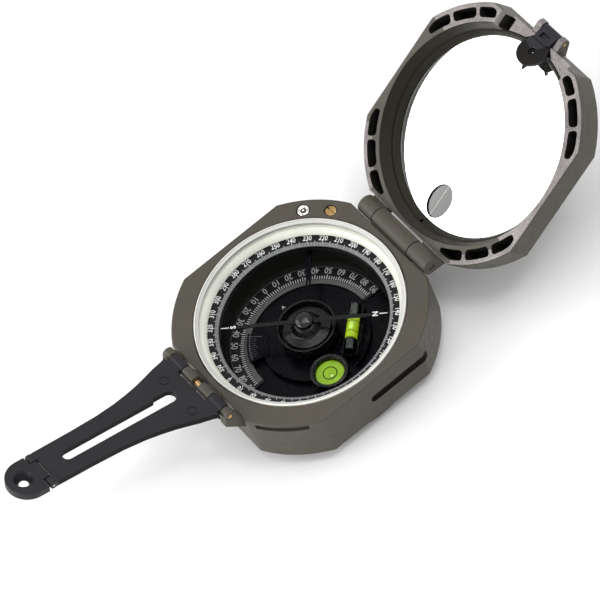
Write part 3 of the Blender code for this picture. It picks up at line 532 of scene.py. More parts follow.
# Side slot, on the +X flat only; the CAD model has a narrower one on both flats
SLOT_Z = TOP - 8.2
SLOT_HALF = 1.5
SLOT_START = -2.0
SLOT_BED = HALF_WIDTH - 1.05
side_slot = [(24.0, SLOT_Z - SLOT_HALF), (24.0, SLOT_Z + SLOT_HALF)]
side_slot += arc(SLOT_HALF, 90, 270, 16, (SLOT_START + SLOT_HALF, SLOT_Z))
cutters.append(slab(side_slot, SLOT_BED, HALF_WIDTH + 2.0, 0.0, "X"))
arc_slot = arc(CORNER_RADIUS - 0.9, -58, -34, 24) + arc(CORNER_RADIUS + 1.0, -34, -58, 24)
cutters.append(slab(arc_slot, TOP - 2.9, TOP - 0.7))
cutters.append(lathe(depths([(1.75, 6.8), (1.75, 3.6), (2.15, 3.6), (2.15, 0.2), (2.4, 0.0), (2.4, -2.0)]),
                     FINE, lock_xy))
cutters.append(lathe(depths([(1.95, 3.2), (1.95, 0.2), (2.2, 0.0), (2.2, -2.0)]), FINE, pinion_xy))
cutters.append(lathe(depths([(3.2, 7.9), (3.2, 5.2)]), FINE, pinion_xy))


def base_paint(centre, normal):
    """1 inside the side slot, painted near-black as painted shade, 0 elsewhere."""
    in_band = abs(centre.z - SLOT_Z) < SLOT_HALF + 0.02 and centre.y > SLOT_START
    inside = math.hypot(centre.x, centre.y) < CORNER_RADIUS - 0.05
    return 1 if in_band and inside and SLOT_BED - 0.05 < centre.x < HALF_WIDTH - 0.02 else 0


piece("base_shell", case_mesh, DIAL, "base", [OLIVE, PAINTED_SHADE], ("base_case",), cutters,
      arm_lugs + [knuckle], paint=base_paint)

# Bowl lining and the bottom cover with its screws
lining_profile = [(33.1, FLOOR - 1.0), (33.1, TOP - 8.1), (26.9, TOP - 8.1), (26.9, FLOOR + 2.6),
                  (26.7, FLOOR + 1.5), (26.3, FLOOR + 0.7), (25.6, FLOOR), (2.7, FLOOR), (2.7, FLOOR - 1.0)]
piece("bowl_lining", lathe(lining_profile, closed=True), DIAL, "base", [BOWL_WALL, NIGHT], ("dial_bowl",),
      paint=lambda c, n: 1 if c.z < FLOOR + 0.1 else 0)
cover_cuts = [lathe([(16.0, -1.0), (16.0, 0.0), (15.6, 0.4), (15.6, 1.9)]),
              lathe([(2.6, -1.0), (2.6, 8.0)], FINE)]
SCREW_R = 29.6
for number in range(4):
    x, y = polar(SCREW_R, 45 + 90 * number)
    cover_cuts.append(lathe([(2.5, -1.0), (2.5, 0.0), (2.3, 0.2), (2.3, 0.35), (1.25, 1.6), (1.25, 8.0)],
                            FINE, (x, y)))
    piece(f"cover_screw_{number + 1}_head",
          lathe(rounded([(0.01, 0.2), (2.0, 0.2), (2.0, 0.5), (0.95, 1.7), (0.95, 7.6), (0.01, 7.6)], 0.12,
                        3, False), FINE, (x, y)), DIAL, "base", STEEL, (f"cover_screw_{number + 1}",),
          [box((x - 2.5, y - 0.3, -1.0), (x + 2.5, y + 0.3, 0.75))])
piece("bottom_plate", lathe([(32.3, 0.0), (32.75, 0.15), (33.0, 0.4), (33.1, 0.8), (33.1, 3.1)]), DIAL,
      "base", OLIVE, ("bottom_cover",), cover_cuts)

# ---------------------------------------------------------------- rings and crystal
BEZEL_LIP_R = 31.98


def bezel_paint(centre, normal):
    """1 on the outer lip, painted bright white as a painted highlight, 0 on the ivory land inside it."""
    return 1 if math.hypot(centre.x, centre.y) > BEZEL_LIP_R else 0


bezel_profile = depths([(30.9, 0.55), (30.9, 0.2), (31.75, -0.12), (31.85, -0.35), (32.1, -0.35),
                        (32.3, -0.15), (32.3, 1.7), (31.95, 1.7), (31.95, 0.55)])
piece("white_bezel", lathe(rounded(bezel_profile, 0.1, 3), closed=True), DIAL, "base", [IVORY, WHITE],
      ("bezel_ring",), paint=bezel_paint)
piece("crystal_disc", lathe(depths([(31.5, 1.6), (31.7, 1.5), (31.7, 0.95), (31.5, 0.85)])), DIAL, "base",
      CRYSTAL, ("crystal",))
gasket_profile = depths([(31.05, 2.15), (31.05, 1.8), (31.75, 1.8), (31.75, 2.15)])
piece("gasket_ring", lathe(rounded(gasket_profile, 0.1, 3), closed=True), DIAL, "base", WHITE,
      ("crystal_gasket",))
reflector_profile = depths([(29.35, 4.55), (29.35, 4.3), (29.6, 3.7), (30.1, 2.95), (30.75, 2.5),
                            (31.2, 2.4), (32.3, 2.4), (32.3, 4.55)])
piece("white_reflector", lathe(reflector_profile, closed=True), DIAL, "base", WHITE, ("reflector_ring",))

# ---------------------------------------------------------------- azimuth ring
RING_TOP = TOP - 5.1
RING_TEETH = 123
PINION_TEETH = 10
GEAR_MODULE = 0.53504
GEAR_LOW = TOP - 7.6
GEAR_HIGH = TOP - 5.6
SLOPE_R = 27.2          # where the ring's sloped inner edge meets its flat top


def gear_outline(teeth, pitch_radius, phase):
    step = 2 * math.pi / teeth
    points = []
    for i in range(teeth):
        middle = i * step + phase
        for share, rise in ((-0.25, -0.42), (-0.17, 0.0), (-0.11, 0.28), (0.11, 0.28), (0.17, 0.0),
                            (0.25, -0.42)):
            radius = pitch_radius + rise
            points.append((radius * math.cos(middle + share * step),
                           radius * math.sin(middle + share * step)))
    return points


teeth = gear_outline(RING_TEETH, GEAR_MODULE * RING_TEETH / 2, math.radians(PINION_AZ - 90))
inner = [(x * 30.0 / math.hypot(x, y), y * 30.0 / math.hypot(x, y)) for x, y in teeth]
gear_loops = ((teeth, GEAR_LOW), (teeth, GEAR_HIGH), (inner, GEAR_HIGH), (inner, GEAR_LOW))
gear = loft([[(x, y, z) for x, y in loop] for loop, z in gear_loops], closed=True)
ring = lathe([(26.1, TOP - 7.9), (26.1, TOP - 5.75), (SLOPE_R, RING_TOP), (31.6, RING_TOP),
              (31.6, TOP - 7.9)], 360, closed=True)


def ring_paint(centre, normal):
    """1 on the sloped inner edge, 0 elsewhere."""
    return 1 if math.hypot(centre.x, centre.y) < SLOPE_R + 0.05 and normal.z > 0.3 else 0


piece("azimuth_dial_ring", ring, DIAL, "azimuth_dial", [DIAL_BLACK, DIAL_GREY], ("azimuth_ring",),
      joins=[gear], paint=ring_paint)


def text_shape(body, size, narrow, weight):
    """Flat lettering in the built-in typeface, centred on the origin, as a bmesh."""
    curve = bpy.data.curves.new("lettering", "FONT")
    curve.body = body
    curve.size = size
    curve.align_x = "CENTER"
    curve.align_y = "CENTER"
    curve.extrude = 0.02
    curve.offset = weight
    curve.resolution_u = 3
    holder = added("lettering", curve)
    depsgraph = bpy.context.evaluated_depsgraph_get()
    mesh = bpy.data.meshes.new_from_object(holder.evaluated_get(depsgraph))
    bm = bmesh.new()
    bm.from_mesh(mesh)
    bpy.data.objects.remove(holder, do_unlink=True)
    bpy.data.meshes.remove(mesh)
    bmesh.ops.transform(bm, matrix=Matrix.Diagonal((narrow, 1.0, 1.0, 1.0)), verts=bm.verts)
    return bm


def stood_at(bm, radius, az, height, tops_out=True):
    """Set lettering on the dial at a radius and azimuth, tops outwards or inwards."""
    x, y = polar(radius, az)
    facing = az + (180 if tops_out else 0)
    bmesh.ops.transform(bm, matrix=Matrix.Translation((x, y, height)) @ turn(facing, "Z"),
                        verts=bm.verts)
    return bm


def tick(inner_r, outer_r, az, width, low, outer_low=None, thick=0.03):
    """Thin radial line; it slopes if the outer end has a height of its own."""
    if outer_low is None:
        outer_low = low
    direction = Vector((*polar(1.0, az), 0.0))
    across = Vector((-direction.y, direction.x, 0.0)) * (width / 2)
    corners = []
    for radius, height in ((inner_r, low), (outer_r, outer_low)):
        for sign in (-1, 1):
            corners.append(direction * radius + across * sign + Vector((0, 0, height)))
    a, b, c, d = corners
    up = Vector((0, 0, thick))
    return loft([[a, b, d, c], [a + up, b + up, d + up, c + up]])


figures = [stood_at(text_shape(str(value), 2.5, 0.74, 0.02), 28.6, value, RING_TOP + 0.035)
           for value in range(0, 360, 10)]
marks = [tick(27.22, 27.6 if degree % 10 else 27.75, degree, 0.12 if degree % 10 else 0.13,
              RING_TOP + 0.01) for degree in range(0, 360, 5)]
piece("azimuth_figures", merged(figures + marks), DIAL, "azimuth_dial", INK)
fine_marks = [tick(26.2, 27.15, degree, 0.12 if degree % 5 else 0.16, TOP - 5.67, RING_TOP - 0.005)
              for degree in range(360)]
piece("azimuth_graduations", merged(fine_marks), DIAL, "azimuth_dial", DIM_INK)

# ---------------------------------------------------------------- clinometer scale
SCALE_TOP = FLOOR + 0.6
scale_outline = arc(25.3, 87, 273, 120) + arc(19.2, 273, 87, 120)
piece("clinometer_plate", slab(scale_outline, FLOOR + 0.12, SCALE_TOP, 0.08), DIAL, "base", DIAL_BLACK,
      ("clinometer_scale",))
band_outline = arc(20.8, 89.5, 270.5, 120) + arc(19.3, 270.5, 89.5, 120)
piece("clinometer_band", slab(band_outline, SCALE_TOP - 0.02, SCALE_TOP + 0.03), DIAL, "base", BAND_GREY)
figures = [stood_at(text_shape(str(abs(value)), 2.9, 0.85, 0.0), 24.0, value - 90, SCALE_TOP + 0.03,
                    False) for value in range(-90, 91, 10)]
marks = [tick(20.95, 22.0 if value % 10 else 22.5, value - 90, 0.26, SCALE_TOP + 0.02)
         for value in range(-90, 91, 2)]
piece("clinometer_figures", merged(figures + marks), DIAL, "base", DIM_INK)
rim_line = arc(25.28, 87.5, 272.5, 120) + arc(25.12, 272.5, 87.5, 120)
piece("clinometer_rim_line", slab(rim_line, SCALE_TOP - 0.02, SCALE_TOP + 0.03), DIAL, "base", FAINT_INK)

# ---------------------------------------------------------------- pinion, lock pin and lever
pinion_teeth = [(x + pinion_xy[0], y + pinion_xy[1]) for x, y in
                gear_outline(PINION_TEETH, GEAR_MODULE * PINION_TEETH / 2,
                             math.radians(PINION_AZ + 90) + math.pi / PINION_TEETH)]
head = lathe(rounded(depths([(0.01, 11.3), (0.95, 11.3), (0.95, 2.0), (1.75, 2.0), (1.75, 0.45),
                             (0.01, 0.4)]), 0.18, 3, False), FINE, pinion_xy)
piece("pinion_screw", head, DIAL, "pinion", BRASS, ("dial_pinion",),
      [box((pinion_xy[0] - 3.0, pinion_xy[1] - 0.28, TOP - 1.1),
           (pinion_xy[0] + 3.0, pinion_xy[1] + 0.28, TOP + 1.0))],
      [slab(pinion_teeth, GEAR_LOW, GEAR_HIGH)])


def button_paint(centre, normal):
    """1 in the turned groove of the button's face, painted dark as painted shade, 0 elsewhere."""
    radius = math.hypot(centre.x - lock_xy[0], centre.y - lock_xy[1])
    return 1 if 0.3 < radius < 0.98 and centre.z > TOP - 1.0 else 0


button_profile = depths([(0.01, 8.4), (0.85, 8.4), (0.9, 8.3), (0.9, 2.2), (1.9, 2.2), (1.95, 2.1),
                         (1.95, 0.35), (1.9, 0.2), (1.72, 0.02), (1.5, -0.06), (1.42, -0.04), (0.95, 0.28),
                         (0.6, 0.3), (0.35, 0.05), (0.15, -0.02), (0.01, -0.03)])
piece("lock_button", lathe(button_profile, FINE, lock_xy), DIAL, "needle_lock", [CHROME, GROOVE_SHADE_STEEL],
      ("lock_pin",), paint=button_paint)

lever_profile = [(-5.2, -0.4), (-1.2, -0.4), (-0.6, -1.0), (0.6, -1.0), (1.2, -0.4), (20.6, -0.3),
                 (20.6, 0.35), (1.2, 0.4), (0.6, 1.0), (-0.6, 1.0), (-1.2, 0.4), (-5.2, 0.4)]
piece("lifter_bar", slab(lever_profile, -0.75, 0.75, 0.08, "X"), LEVER, "lifter", NIGHT, ("lift_lever",),
      [bar(0.6, -3, 3, edge=0.0), box((-0.26, 3.0, 0.12), (0.26, 22.0, 2.0)),
       box((-0.26, 13.5, -2.0), (0.26, 22.0, 2.0))])

# ---------------------------------------------------------------- clinometer carrier and levels
carrier_outline = []
for start, end, radius in ((-37, 100, 15.3), (97, 143, 23.4), (146, 217, 18.2), (220, 320, 9.2)):
    carrier_outline += sweep(radius, start, end, 24)
piece("carrier_plate", slab(rounded(carrier_outline, 1.2, 3), FLOOR + 1.2, CARRIER_TOP, 0.12), CLINO,
      "clinometer", NIGHT, ("clinometer_carrier",), [lathe([(2.6, 0.0), (2.6, TOP)], FINE)])
vernier_outline = sweep(19.7, -3, 27, 20) + sweep(13.2, 27, -3, 20)
VERNIER_TOP = CARRIER_TOP + 0.5
piece("vernier_sector", slab(vernier_outline, CARRIER_TOP + 0.1, VERNIER_TOP, 0.08), CLINO, "clinometer",
      NIGHT, ("vernier_plate",))
vernier_marks = [tick(15.0, 19.6, 0, 0.14, VERNIER_TOP, thick=0.02)]
vernier_marks += [tick(16.8 if step % 5 else 16.0, 19.5, 2.5 * step, 0.09, VERNIER_TOP, thick=0.02)
                  for step in range(1, 10)]
vernier_marks.append(slab(sweep(18.9, -2, 26, 12) + sweep(18.7, 26, -2, 12), VERNIER_TOP,
                          VERNIER_TOP + 0.02))
piece("vernier_lines", merged(vernier_marks), CLINO, "clinometer", FAINT_INK)
POINTER_AZ = -46.0
pointer = [stood_at(text_shape("A", 1.7, 0.9, 0.02), 14.3, POINTER_AZ, CARRIER_TOP + 0.05),
           tick(9.6, 13.2, POINTER_AZ, 0.22, CARRIER_TOP + 0.02)]
piece("carrier_mark", merged(pointer), CLINO, "clinometer", DIM_INK)

holder_profile = [(-2.4, CARRIER_TOP + 0.1 - TUBE_Z), (2.4, CARRIER_TOP + 0.1 - TUBE_Z), (2.4, -0.6),
                  (-2.4, -0.6)]
piece("vial_holder", slab(holder_profile, -8.3, 8.3, 0.2, "X"), TUBE, "clinometer", HUB,
      ("tube_holder",), [bar(TUBE_R + 0.15, -9, 9, edge=0.0), box((-3.9, -5.0, -2.6), (3.9, 5.0, 3.0))])
piece("vial_tube", bar(TUBE_R, -8.0, 8.0, edge=0.25), TUBE, "clinometer", VIAL, ("tube_vial",),
      [bar(TUBE_R - 0.12, -9.0, 9.0, edge=0.0)])
piece("vial_liquid", bar(TUBE_R - 0.16, -3.7, 3.7, edge=0.15), TUBE, "clinometer", YELLOW, ("tube_fluid",))
for number, side in enumerate((-1, 1)):
    low, high = sorted((side * 3.9, side * 7.9))
    piece(f"vial_end_{number + 1}", bar(TUBE_R - 0.16, low, high, edge=0.3), TUBE, "clinometer", VIAL_CAP,
          (f"vial_plug_{number + 1}",))
tube_bubble = bar(0.95, -1.5, 1.5, 0.0, TUBE_R - 0.95, 0.7)
piece("vial_bubble", tube_bubble, TUBE, "clinometer", BUBBLE)
line_rings = [slab(ring_points(TUBE_R - 0.13, FINE), x - 0.08, x + 0.08, 0.0, "X")
              for x in (-1.75, 1.75)]
piece("vial_lines", merged(line_rings), TUBE, "clinometer", NIGHT)

LEVEL_XY = polar(17.2, 75.0 - CLINO_AZ)
cup_profile = [(0.01, CARRIER_TOP + 0.1), (5.7, CARRIER_TOP + 0.1), (5.9, CARRIER_TOP + 0.4)]
cup_profile += depths([(5.9, 9.75), (5.75, 9.45), (5.5, 9.3), (5.1, 9.3), (4.85, 9.45), (4.55, 9.9),
                       (4.5, 13.6), (0.01, 13.6)])
piece("level_cup", lathe(cup_profile, 96, LEVEL_XY), CLINO, "clinometer", HUB, ("round_level_cup",))
piece("level_liquid", lathe(depths([(4.3, 13.4), (4.35, 13.3), (4.35, 11.05), (4.3, 11.0)]), 96, LEVEL_XY),
      CLINO, "clinometer", GREEN, ("round_level_fluid",))
piece("level_glass", lathe(depths([(4.35, 10.85), (4.35, 10.4), (4.2, 10.2), (3.4, 10.12)]), 96, LEVEL_XY),
      CLINO, "clinometer", VIAL, ("round_level_glass",))
piece("level_ring_mark", lathe(depths([(1.95, 10.99), (1.95, 10.96), (2.25, 10.96), (2.25, 10.99)]), 72,
                               LEVEL_XY, True), CLINO, "clinometer", NIGHT)
bubble_xy = (LEVEL_XY[0] + 0.85, LEVEL_XY[1] + 0.65)
piece("level_bubble", lathe(depths([(0.62, 10.99), (0.55, 10.93), (0.3, 10.9)]), 40, bubble_xy), CLINO,
      "clinometer", BUBBLE)
# Dark ring round the bubble: painted shade of the bubble's rim.
piece("level_bubble_edge_shade", lathe(depths([(0.62, 10.99), (0.62, 10.94), (0.74, 10.94), (0.74, 10.99)]), 40,
                                 bubble_xy, True), CLINO, "clinometer", NIGHT)

damper_profile = [(0.9, CARRIER_TOP + 0.15), (5.5, CARRIER_TOP + 0.15)]
damper_profile += depths([(7.6, 13.6), (8.6, 12.6), (9.0, 11.9), (9.1, 11.3), (9.1, 8.4), (9.0, 8.25),
                          (8.75, 8.2), (8.5, 8.25), (8.4, 8.4), (8.4, 10.4), (8.1, 10.8), (0.9, 10.8)])
piece("damper_bowl", lathe(damper_profile, 128, closed=True), DIAL, "clinometer", HUB, ("damping_cup",))

# ---------------------------------------------------------------- needle
HUB_R = 2.4
needle_side = [(0.5, -NEEDLE_LENGTH + 1.6), (0.75, -HUB_R - 1.0)]
half = [(0.0, -NEEDLE_LENGTH)] + needle_side + arc(HUB_R, -60, 60, 16)
half += [(x, -y) for x, y in reversed(needle_side)]
needle_outline = half + [(-x, -y) for x, y in half]
NEEDLE_Z = TOP - 5.7
piece("needle_bar", slab(needle_outline, NEEDLE_Z - 0.15, NEEDLE_Z + 0.15, 0.05), NEEDLE, "needle",
      HUB, ("compass_needle",), [lathe([(1.15, 0.0), (1.15, TOP)], FINE)])
for letter, side in (("N", 1), ("S", -1)):
    tip_mark = slab([(-0.1, -25.4 * side), (0.1, -25.4 * side), (0.14, -23.0 * side),
                     (-0.14, -23.0 * side)], NEEDLE_Z + 0.14, NEEDLE_Z + 0.2)
    sign = text_shape(letter, 2.3, 0.95, 0.05)
    stood_at(sign, 21.6, 0 if side > 0 else 180, NEEDLE_Z + 0.2)
    piece(f"needle_mark_{letter}", merged([tip_mark, sign]), NEEDLE, "needle", INK)
skirt_profile = depths([(7.0, 9.7), (7.3, 9.7), (7.3, 9.3), (4.6, 8.5), (3.3, 6.35), (1.5, 6.05),
                        (1.5, 6.5), (3.0, 6.8), (4.3, 8.9)])
piece("needle_skirt", lathe(rounded(skirt_profile, 0.5, 4), 128, closed=True), DIAL, "needle", HUB,
      ("needle_disc",), angle=50)
dome_profile = depths([(0.95, 6.3), (0.95, 5.4), (2.9, 5.4), (2.95, 4.95), (2.5, 4.4), (1.7, 3.95),
                       (0.6, 3.75), (0.01, 3.73)])
piece("needle_dome", lathe(rounded(dome_profile, 0.35, 4, False), 96), DIAL, "needle", DOME,
      ("needle_cap",), [lathe(depths([(0.6, 7.0), (0.55, 6.25), (0.1, 5.7)]), 24)],
      angle=50)

# ---------------------------------------------------------------- lid
CENTRE = (0.0, -LID_CENTRE)
WALL_Y = -(LID_CENTRE + HALF_LENGTH)
SIGHT_Y = -(LID_CENTRE + SIGHT_AXIS)
SIGHT_Z = LID_RIM + 6.4
BACK = LID_RIM + LID_THICKNESS
lid_levels = [(0.45, LID_RIM), (0.2, LID_RIM + 0.08), (0.05, LID_RIM + 0.25), (0.0, LID_RIM + 0.5),
              (0.0, BACK - 2.7), (0.1, BACK - 2.35), (2.1, BACK - 0.25), (2.4, BACK)]
lid_mesh = loft([[(x, y - LID_CENTRE, z) for x, y in case_plan(inset)] for inset, z in lid_levels])

lid_joins = []
lid_knuckle = [(-4.2, 6.6), (-4.2, 2.4), (-3.2, 1.75)] + arc(KNUCKLE_R - 0.05, 158, 405, 36)
for low, high in ((-16.2, LEFT_SEAM - 0.3), (RIGHT_SEAM + 0.3, 16.2)):
    lid_joins.append(slab(lid_knuckle, low, high, 0.12, "X"))
SIGHT_BARREL_R = 1.55
LUG_FRONT = LID_RIM + 4.8
sight_lug = [(WALL_Y + 0.8, LID_RIM + 10.3), (WALL_Y + 0.8, LUG_FRONT), (SIGHT_Y - 0.5, LUG_FRONT),
             (SIGHT_Y - 1.5, LUG_FRONT + 0.9)]
sight_lug += arc(SIGHT_BARREL_R + 0.2, 185, 120, 12, (SIGHT_Y, SIGHT_Z))
for low, high in ((-5.9, -3.8), (3.8, 5.9)):
    lid_joins.append(slab(sight_lug, low, high, 0.12, "X"))

SIGHT_PIN_BORE = 0.62
lid_cuts = [bar(LID_PIN_BORE, -20, 20, edge=0.0), bar(SIGHT_PIN_BORE, -8, 8, SIGHT_Y, SIGHT_Z, 0.0)]
lid_cuts.append(lathe([(33.7, LID_RIM - 1.0), (33.45, LID_RIM), (33.2, LID_RIM + 0.2),
                       (31.8, WELL_STEP), (32.3, WELL_STEP), (32.3, MIRROR_BACK + 0.3)], ROUND,
                      CENTRE))
WINDOW_Y = -(LID_CENTRE - 23.8)
WINDOW_HALF = (4.1, 5.4)
window = [(WINDOW_HALF[0] * math.cos(2 * math.pi * i / 72),
           WINDOW_Y + WINDOW_HALF[1] * math.sin(2 * math.pi * i / 72))
          for i in range(72)]
lid_cuts.append(stacked(window, ((0.5, MIRROR_BACK - 0.5), (0.7, MIRROR_BACK + 0.3), (2.6, BACK - 0.2),
                                 (2.9, BACK), (2.9, BACK + 1.0))))
SADDLE_FLOOR = LID_RIM + 4.35   # 0.6 mm deeper than in the CAD model
saddle = [(-15.3, LID_RIM - 0.01), (-14.4, LID_RIM + 1.7), (-13.4, SADDLE_FLOOR), (13.4, SADDLE_FLOOR),
          (14.4, LID_RIM + 1.7), (15.3, LID_RIM - 0.01), (15.5, LID_RIM - 2.0), (-15.5, LID_RIM - 2.0)]
lid_cuts.append(loft([[(x, y, z) for x, z in saddle] for y in (WALL_Y - 3.0, WALL_Y + 9.0)]))
notch = [(3.75, WALL_Y - 3.0), (3.75, WALL_Y + 0.4), (5.9, WALL_Y + 2.6), (5.9, WALL_Y + 7.0)]
notch += [(-x, y) for x, y in reversed(notch)]
lid_cuts.append(slab(notch, LID_RIM - 1.0, SIGHT_Z + 0.9))
POCKET_DEPTH = 6.0
POCKET_INNER_R = 34.85
POCKET_OUTER_R = 37.75
POCKET_WALL = 1.5
POCKET_SPREAD = 6.45
SADDLE_TRIM = 3.4        # degrees off the pockets next to the saddle
for corner in (45, 135, 225, 315):
    for shift in (-15, 0, 15):
        middle = corner + shift
        low, high = middle - POCKET_SPREAD, middle + POCKET_SPREAD
        if middle == 30:
            low += SADDLE_TRIM
        elif middle == 330:
            high -= SADDLE_TRIM
        outline = sweep(POCKET_INNER_R, low, high, 2)
        for share in (1, 0.75, 0.5, 0.25, 0):
            az = low + (high - low) * share
            a = math.radians(az)
            limit = min((HALF_WIDTH - POCKET_WALL) / max(abs(math.sin(a)), 0.01),
                        (HALF_LENGTH - POCKET_WALL) / max(abs(math.cos(a)), 0.01))
            outline.append(polar(min(POCKET_OUTER_R, limit), az))
        outline = rounded([(x, y - LID_CENTRE) for x, y in outline], 1.25, 6)
        lid_cuts.append(punch(outline, LID_RIM, LID_RIM + POCKET_DEPTH, 0.14, blind=True))
RECESS_X = (-14.5, -12.2)
RECESS_Y = (WALL_Y + 0.8, WALL_Y + 4.9)
recess = [(RECESS_X[0], RECESS_Y[0]), (RECESS_X[1], RECESS_Y[0]), (RECESS_X[1], RECESS_Y[1]),
          (RECESS_X[0], RECESS_Y[1])]
lid_cuts.append(slab(rounded(recess, 0.3), LID_RIM - 1.0, LID_RIM + 6.5))


def lid_paint(centre, normal):
    """1 bare metal of rim and saddle, 2 inside a pocket or the recess, painted near-black as painted shade,
    3 the well round the mirror, 0 enamel.
    """
    x, y = centre.x, centre.y + LID_CENTRE
    radius = math.hypot(x, y)
    faces_out = normal.z < -0.3
    if normal.z < -0.8 and centre.z < LID_RIM + 0.1 and radius > 32 and centre.y < -3.15:
        return 1
    on_ramp = LID_RIM <= centre.z < SADDLE_FLOOR + 0.05 and abs(x) < 15.4 and radius > 31.0
    on_lug = 3.7 < abs(x) < 6.0 and centre.z < LID_RIM + 6.0
    if faces_out and y < -30.0 and (on_ramp or on_lug):
        return 1
    in_recess = (RECESS_X[0] - 0.1 < x < RECESS_X[1] + 0.1
                 and RECESS_Y[0] - 0.1 < centre.y < RECESS_Y[1] + 0.1)
    inside_wall = abs(x) < HALF_WIDTH - 1.3 and abs(y) < HALF_LENGTH - 1.3
    if centre.z < LID_RIM + 7.0 and ((34.6 < radius < 37.95 and inside_wall) or in_recess):
        return 2
    if abs(normal.z) < 0.95 and radius < 33.9 and centre.z < LID_RIM + 10.0:
        return 3
    return 0


piece("lid_shell", lid_mesh, LID, "lid", [OLIVE, RIM_METAL, PAINTED_SHADE, WELL], ("lid_case",), lid_cuts,
      lid_joins, paint=lid_paint)
mirror_cuts = [punch(window, MIRROR_FRONT, MIRROR_BACK, 0.12),
               box((-5.6, WALL_Y - 3.0, LID_RIM), (5.6, WALL_Y + 3.1, LID_RIM + 20.0))]
# The mirror's edges and the walls of its window are painted near-black as painted shade.
piece("mirror_disc", lathe([(31.7, MIRROR_FRONT), (32.0, MIRROR_FRONT + 0.3), (32.0, MIRROR_BACK)],
                           ROUND, CENTRE), LID, "lid", [MIRROR, PAINTED_SHADE], ("mirror_glass",), mirror_cuts,
      paint=lambda c, n: 0 if n.z < -0.9 else 1)
ring_cuts = [box((-5.6, WALL_Y - 3.0, LID_RIM), (5.6, WALL_Y + 9.0, SIGHT_Z + 1.0)),
             box((-0.5, -6.6, LID_RIM), (0.5, -3.0, LID_RIM + 6.6))]
retainer_profile = [(30.3, MIRROR_FRONT - 0.2), (30.35, MIRROR_FRONT - 0.5), (31.2, WELL_STEP + 0.35),
                    (31.35, WELL_STEP + 0.2), (32.0, WELL_STEP + 0.2), (32.0, MIRROR_FRONT - 0.2)]
piece("mirror_retainer", lathe(retainer_profile, ROUND, CENTRE, True), LID, "lid", WELL, ("mirror_ring",),
      ring_cuts)
hair = slab(ring_points(0.09, 12, (0.0, MIRROR_FRONT - 0.12)), WINDOW_Y - 7.2, WINDOW_Y + 6.4, 0.0, "X")
piece("window_hairline", hair, LID @ turn(90, "Z") @ Matrix.Diagonal((1.0, -1.0, 1.0, 1.0)), "lid",
      CHROME)

# ---------------------------------------------------------------- hinge pins
piece("lid_pin", bar(0.95, -16.0, 16.0, LID_AXIS_Y, LID_AXIS_Z, 0.2), DIAL, "base", OLIVE,
      ("lid_hinge_pin",))
piece("arm_pin", bar(0.82, -15.8, 15.8, ARM_AXIS_Y, ARM_AXIS_Z, 0.2), DIAL, "base", BRASS,
      ("arm_hinge_pin",))
piece("sight_pin", bar(0.54, -5.85, 5.85, SIGHT_Y, SIGHT_Z, 0.12), LID, "lid", BRASS,
      ("lid_sight_pin",))

# ---------------------------------------------------------------- small sight
SIGHT_REACH = 8.0
SIGHT_DISC_R = 4.9
SPIKE_AZ = 70.0
disc = arc(SIGHT_DISC_R, -55, SPIKE_AZ - 11, 36, (0.0, SIGHT_REACH))
for rise, turned in ((0.25, -7), (1.45, 0), (0.2, 4)):
    a = math.radians(SPIKE_AZ + turned)
    disc.append(((SIGHT_DISC_R + rise) * math.cos(a), SIGHT_REACH + (SIGHT_DISC_R + rise) * math.sin(a)))
disc += arc(SIGHT_DISC_R, SPIKE_AZ + 7, 235, 36, (0.0, SIGHT_REACH))
disc += [(-2.4, 2.6), (-2.4, 0.5), (2.4, 0.5), (2.4, 2.6)]
root = rounded([(-3.4, 0.3), (3.4, 0.3), (3.4, 3.6), (2.7, 4.5), (-2.7, 4.5), (-3.4, 3.6)], 0.4)


def sight_paint(centre, normal):
    """1 inside the peep hole, painted near-black as painted shade, 0 elsewhere."""
    return 1 if math.hypot(centre.x, centre.y - SIGHT_REACH) < 1.25 else 0


piece("sight_disc", slab(disc, -0.6, 0.6, 0.14), SIGHT, "peep_sight", [SIGHT_PLASTIC, PAINTED_SHADE],
      ("lid_sight",),
      [bar(SIGHT_PIN_BORE, -5, 5, edge=0.0),
       lathe([(1.4, -2.0), (1.4, -0.6), (1.2, -0.4), (1.2, 0.25), (0.15, 0.35), (0.15, 2.0)], FINE,
             (0.0, SIGHT_REACH)),
       slab(rounded([(-1.7, 1.6), (1.7, 1.6), (1.7, 3.5), (-1.7, 3.5)], 0.4), -2.5, -0.75)],
      [bar(1.45, -3.5, 3.5, edge=0.12), slab(root, -1.65, 0.45, 0.35)], paint=sight_paint)

# ---------------------------------------------------------------- sight arm
PLATE_LOW = -0.8
PLATE_HIGH = 1.2
ARM_ROOT = 2.6
FINGER = (6.9, 12.7)
FORK = (3.85, 6.7)
half_widths = ((ARM_ROOT, 14.6), (3.0, 13.6), (4.6, 13.0), (8.0, 12.2), (12.0, 10.9), (16.0, 9.7),
               (20.0, 8.8), (25.0, 7.9), (32.0, 7.2), (42.0, 6.9), (54.85, 6.8))
right_side = [(FINGER[0], -ARM_ROOT), (FINGER[0], 0.0), (FINGER[1], 0.0), (FINGER[1], -ARM_ROOT)]
right_side += [(width, -s) for s, width in half_widths]
right_side += [(FORK[1], -TIP_AXIS), (FORK[0], -TIP_AXIS), (FORK[0], -54.85)]
arm_outline = right_side + [(-x, y) for x, y in reversed(right_side)]
SLOT_WIDTH = 1.75
slot_outline = [(-SLOT_WIDTH, -46.6)] + arc(SLOT_WIDTH, 190, 360, 20, (0.0, -46.6))
slot_outline += arc(2.15, 0, 180, 20, (-0.4, -10.4)) + [(-2.55, -14.4), (-SLOT_WIDTH, -15.2)]
arm_joins = [bar(ARM_BARREL_R, low, high) for low, high in ((-12.8, -6.8), (6.8, 12.8))]
TIP_BARREL_R = 1.1
TIP_Z = (PLATE_LOW + PLATE_HIGH) / 2
arm_joins += [bar(TIP_BARREL_R, low, high, -TIP_AXIS, TIP_Z)
              for low, high in ((-6.8, -3.75), (3.75, 6.8))]
